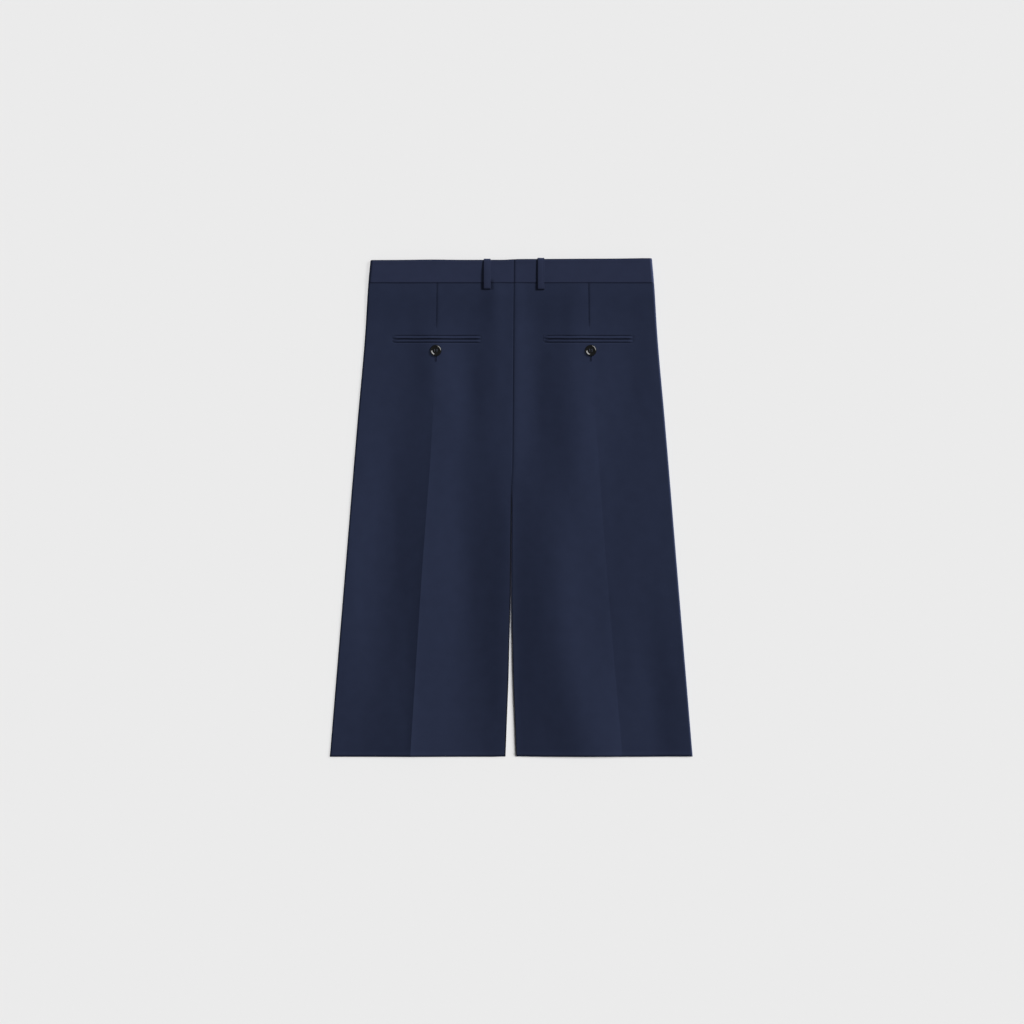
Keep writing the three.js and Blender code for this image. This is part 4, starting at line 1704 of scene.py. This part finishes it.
@dataclass
class Sewing:
    """The stitching that shows: buttonholes, one pocket tack and the fly's stitch line."""

    cut: Cut
    relief: Relief
    satin: Stitch = Stitch(long=1.5, radius=0.16, pitch=0.3, turn=90.0, seed=4)
    tack: Stitch = Stitch(long=1.2, radius=0.17, pitch=0.34, turn=90.0, seed=7)
    lockstitch: Stitch = Stitch(long=2.1, radius=0.17, pitch=2.6, turn=0.0, seed=9)
    slit_half: float = 0.95
    bar_share: float = 1.3
    bar_below: float = 0.5
    sunk: float = 0.04
    tack_in: float = 0.6
    tack_above: float = 5.6
    tack_under: float = 2.6
    fly_start: float = 1.5
    fly_out: float = 30.0
    fly_last: float = 1.5
    fly_turn: float = 148.0
    fly_end: float = 192.0
    fly_raised: float = 0.2

    def on_back(self, points: Sequence[tuple[float, float]]) -> np.ndarray:
        """A line on the back's outside from pairs of x and distance below the waist."""
        heights = [self.relief.back_top(x, b, smooth=True) - self.sunk for x, b in points]
        return np.array([(x, self.cut.y(b), z) for (x, b), z in zip(points, heights)])

    def buttonhole(self, side: Side, tree: StitchTree, thread: Material) -> Piece:
        """Sews one buttonhole: satin stitches on both sides of the slit and a bar at its end."""
        cut = self.cut
        middle = cut.button_middle(side, cut.button_below)
        belows = np.linspace(cut.hole_top, cut.hole_end, 12).tolist()
        edges = (middle - self.slit_half, middle + self.slit_half)
        lines = [self.on_back([(x, b) for b in belows]) for x in edges]
        reach = self.bar_share * self.slit_half
        bar = np.linspace(-reach, reach, 5).tolist()
        lines.append(self.on_back([(middle + out, cut.hole_end + self.bar_below) for out in bar]))
        return dress(tree.sew(f"buttonhole_{side.word}", lines, self.satin, thread), thread, "suiting")

    def pocket_tack(self, tree: StitchTree, thread: Material) -> Piece:
        """Sews the upright tack at the inner end of the right pocket's mouth."""
        cut = self.cut
        x = cut.pocket_middle(Side.RIGHT) - cut.pocket_wide / 2 + self.tack_in
        belows = np.linspace(cut.pocket_mouth - self.tack_above, cut.pocket_mouth + self.tack_under, 8)
        line = self.on_back([(x, b) for b in belows.tolist()])
        return dress(tree.sew("pocket_tack_right", [line], self.tack, thread), thread, "suiting")

    def fly_line(self, tree: StitchTree, thread: Material) -> Piece:
        """Sews the fly's stitch line on the underside, down and round to the centre seam."""
        cut = self.cut
        straight = np.linspace(cut.band_height + self.fly_start, self.fly_turn, 20)
        points = [(-self.fly_out, b) for b in straight.tolist()]
        for angle in np.linspace(0, math.pi / 2, 14)[1:]:
            across = -self.fly_out + (self.fly_out - self.fly_last) * (1 - math.cos(angle))
            points.append((across, self.fly_turn + (self.fly_end - self.fly_turn) * math.sin(angle)))
        line = np.array([(cut.centre(b) + x, cut.y(b), self.under(b)) for x, b in points])
        return dress(tree.sew("fly_stitch_line", [line], self.lockstitch, thread), thread, "suiting")

    def under(self, below: float) -> float:
        """Height of the front's outside over the floor at one distance below the waist."""
        s = self.cut.section(Side.LEFT, below)
        return s.middle - s.radius + self.fly_raised

    def build(self, tree: StitchTree, thread: Material) -> list[Piece]:
        """Sews all of it."""
        rows = [self.buttonhole(side, tree, thread) for side in Side]
        return rows + [self.pocket_tack(tree, thread), self.fly_line(tree, thread)]


@dataclass
class FlyZip:
    """The closed coil zip behind the fly, between the front and back layers."""

    cut: Cut
    wide: float = 26.0
    tape: float = 0.6
    slot: float = 0.9
    top: float = 35.0
    end: float = 196.0
    over_front: float = 1.5
    coil_in: tuple[float, float] = (3.0, 4.0)
    coil_lift: float = 0.2
    coil: Stitch = Stitch(long=3.6, radius=0.42, pitch=0.95, turn=90.0, seed=12)

    def level(self, below: float) -> float:
        """Height of the tape's middle over the floor."""
        s = self.cut.section(Side.LEFT, below)
        return s.middle - s.radius + self.over_front + self.tape / 2

    def half(self, side: Side) -> Piece:
        """Builds the tape on one side of the coil."""
        cut = self.cut
        outs = np.linspace(self.slot / 2, self.wide / 2, 8) * side.value
        rows = ClothWall()
        for below in np.linspace(self.top, self.end, 60).tolist():
            x, y = cut.centre(below) + outs, cut.y(below)
            level, thick = self.level(below), self.tape / 2
            rows.add(grid_row(x, y, level + thick), grid_row(x, y, level - thick), grid_row(x, y))
        return rows.build(f"zip_tape_{side.word}")

    def build(self, tree: StitchTree, tape: Material, nylon: Material) -> list[Piece]:
        """Builds the tape and the coil."""
        cut = self.cut
        cloth = dress(joined("fly_zip_tape", [self.half(side) for side in Side]), tape, "zip_tape", "fly_zip")
        above, under = self.coil_in
        belows = np.linspace(self.top + above, self.end - under, 40).tolist()
        line = np.array([(cut.centre(b), cut.y(b), self.level(b) + self.coil_lift) for b in belows])
        coil = dress(tree.sew("fly_zip_coil", [line], self.coil, nylon), nylon, "zip_tape")
        return [cloth, coil]


@dataclass(frozen=True)
class SunLight:
    """Even light from one direction.

    Attributes:
        name: The light's name.
        turn: Its bearing in degrees, from +X towards +Y.
        rise: Its angle above the floor, in degrees.
        power: Its strength.
        soft: Its width in degrees.
    """

    AWAY = 4.0

    name: str
    turn: float
    rise: float
    power: float
    soft: float

    def hang(self, reaches: bpy.types.Collection) -> Piece:
        """Hangs the light.

        Args:
            reaches: What it reaches.

        Returns:
            The light.
        """
        data = bpy.data.lights.new(self.name, "SUN")
        data.energy = self.power
        data.angle = math.radians(self.soft)
        light = bpy.data.objects.new(self.name, data)
        t, r = math.radians(self.turn), math.radians(self.rise)
        towards = Vector((math.cos(t) * math.cos(r), math.sin(t) * math.cos(r), math.sin(r)))
        light.location = towards * self.AWAY
        light.rotation_euler = (-towards).to_track_quat("-Z", "Y").to_euler()
        bpy.context.scene.collection.objects.link(light)
        light.light_linking.receiver_collection = reaches
        return light


@dataclass
class Studio:
    """Pale floor, soft light and the camera straight above, as in the photo."""

    cut: Cut
    photo_scale: float = 1.45
    photo_side: int = 1024
    photo_middle_x: float = 510.7
    photo_waist_y: float = 259.8
    lens: float = 100.0
    sensor: float = 36.0
    sight: float = 30.0
    floor_half: float = 6000.0
    floor_gap: float = 0.02
    room_light: float = 0.1
    key: SunLight = SunLight("key_light", 39.0, 33.0, 2.6, 12.0)
    shine: SunLight = SunLight("button_light", 39.0, 33.0, 4.5, 58.0)
    rake: SunLight = SunLight("raking_light", 15.0, 6.5, 9.5, 0.0)
    fill: SunLight = SunLight("fill_light", 0.0, 90.0, 0.47, 80.0)
    floor_even: float = 2.95
    edge_share: float = 0.14
    edge_turn: float = 24.0
    edge_rise: float = 47.0
    edge_soft: float = 9.0
    floor_turn: float = 0.0
    floor_rise: float = 42.0
    floor_soft: float = 50.0

    def camera(self) -> Piece:
        """Puts the camera over the garment so that the photo's frame is filled."""
        data = bpy.data.cameras.new("camera")
        data.lens = self.lens
        data.sensor_width = self.sensor
        data.clip_end = self.sight
        camera = bpy.data.objects.new("camera", data)
        bpy.context.scene.collection.objects.link(camera)
        across = self.photo_side * self.photo_scale
        middle = (self.photo_side - 1) / 2
        x = (middle - self.photo_middle_x) * self.photo_scale
        y = self.cut.y((middle - self.photo_waist_y) * self.photo_scale)
        away = self.lens * across / self.sensor
        camera.location = Vector((x, y, away)) * MM
        bpy.context.scene.camera = camera
        return camera

    def floor(self) -> Piece:
        """Lays the floor just under the garment."""
        corners = ((-1, -1), (1, -1), (1, 1), (-1, 1))
        points = [(x * self.floor_half, y * self.floor_half, -self.floor_gap) for x, y in corners]
        floor = mesh_object("floor", np.array(points), [(0, 1, 2, 3)])
        floor.data.materials.append(FloorFinish().material())
        return floor

    def lights(self, floor: Piece, shading: Sequence[Piece], glossy: Sequence[Piece]) -> None:
        """Hangs the studio's lights.

        A key, a raking and a fill light reach the cloth, a soft one the buttons, and two the floor, of which
        the narrower one draws the contact shade along the garment's edges.

        Args:
            floor: The floor, which only its own lights and the room's light reach.
            shading: Pieces that shade the floor from its wide light, those on the right of the gap.
            glossy: Buttons and their thread, which have a light of their own.
        """
        cloth = self.listing("cloth", (floor, *glossy), "EXCLUDE")
        ground = self.listing("floor_only", (floor,), "INCLUDE")
        self.key.hang(cloth)
        self.shine.hang(self.listing("buttons", glossy, "INCLUDE"))
        self.rake.hang(cloth).data.use_shadow = False
        self.fill.hang(cloth)
        power = self.floor_power(self.edge_share, self.edge_rise)
        SunLight("edge_light", self.edge_turn, self.edge_rise, power, self.edge_soft).hang(ground)
        power = self.floor_power(1 - self.edge_share, self.floor_rise)
        wide = SunLight("floor_light", self.floor_turn, self.floor_rise, power, self.floor_soft).hang(ground)
        wide.light_linking.blocker_collection = self.listing("shades_floor", shading, "INCLUDE")
        world = bpy.data.worlds.new("studio")
        world.use_nodes = True
        world.node_tree.nodes["Background"].inputs["Color"].default_value = (1, 1, 1, 1)
        world.node_tree.nodes["Background"].inputs["Strength"].default_value = self.room_light
        bpy.context.scene.world = world

    def floor_power(self, share: float, rise: float) -> float:
        """Power of a light that gives a share of the floor's brightness from its angle above the floor."""
        return self.floor_even * share / math.sin(math.radians(rise))

    def listing(self, name: str, pieces: Sequence[Piece], state: str) -> bpy.types.Collection:
        """Makes the list of what a light reaches or is shaded by.

        Args:
            name: The list's name.
            pieces: The pieces in it.
            state: INCLUDE for these pieces alone, EXCLUDE for all but these.

        Returns:
            The list, as a collection.
        """
        found = bpy.data.collections.new(name)
        for number, piece in enumerate(pieces):
            found.objects.link(piece)
            found.collection_objects[number].light_linking.link_state = state
        return found

    def build(self, shading: Sequence[Piece], glossy: Sequence[Piece]) -> None:
        """Sets up camera, floor, lights and plain colours.

        Args:
            shading: Pieces that shade the floor.
            glossy: Buttons and their thread, which have a soft light of their own.
        """
        self.camera()
        self.lights(self.floor(), shading, glossy)
        bpy.context.scene.view_settings.view_transform = "Standard"


def report(title: str, pieces: Sequence[Piece]) -> None:
    """Logs each piece with its number of faces."""
    for piece in pieces:
        log.info("%s: %s, %d faces", title, piece.name, len(piece.data.polygons))


def main() -> None:
    """Builds the studio and every piece in order."""
    logging.basicConfig(level=logging.INFO, format="%(message)s")
    cut = Cut()
    relief = Relief(cut)
    suiting = SuitingFinish("navy_suiting", (0.0168, 0.0222, 0.0455)).material()
    band_suiting = SuitingFinish("navy_band_suiting", (0.0199, 0.0251, 0.0514)).material()
    resin = GlossFinish("black_resin", (0.0025, 0.0025, 0.0024)).material()
    button_thread = ThreadFinish("button_thread", (0.075, 0.085, 0.11)).material()
    sewing_thread = ThreadFinish("navy_thread", (0.0075, 0.0105, 0.024)).material()
    tape = SuitingFinish("zip_tape_weave", (0.008, 0.009, 0.014)).material()
    nylon = GlossFinish("zip_nylon", (0.006, 0.0065, 0.009), 0.35).material()
    legs = LegPanels(cut, relief)
    panels = legs.build(suiting)
    report("leg panel", panels)
    report("waistband", Waistband(cut, relief).build(band_suiting))
    report("belt loop", BeltLoops(cut, relief).build(band_suiting))
    welts = BackPockets(cut, relief).build(suiting)
    report("pocket", welts)
    for side in Side:
        legs.declare(side)
        legs.declare(side)
    buttons = PocketButtons(cut, relief).build(resin, button_thread)
    report("button", buttons)
    Studio(cut).build([piece for piece in panels if "right" in piece.name], buttons)
    tree = StitchTree()
    report("sewing", Sewing(cut, relief).build(tree, sewing_thread))
    report("zip", FlyZip(cut).build(tree, tape, nylon))


if __name__ == "__main__":
    main()
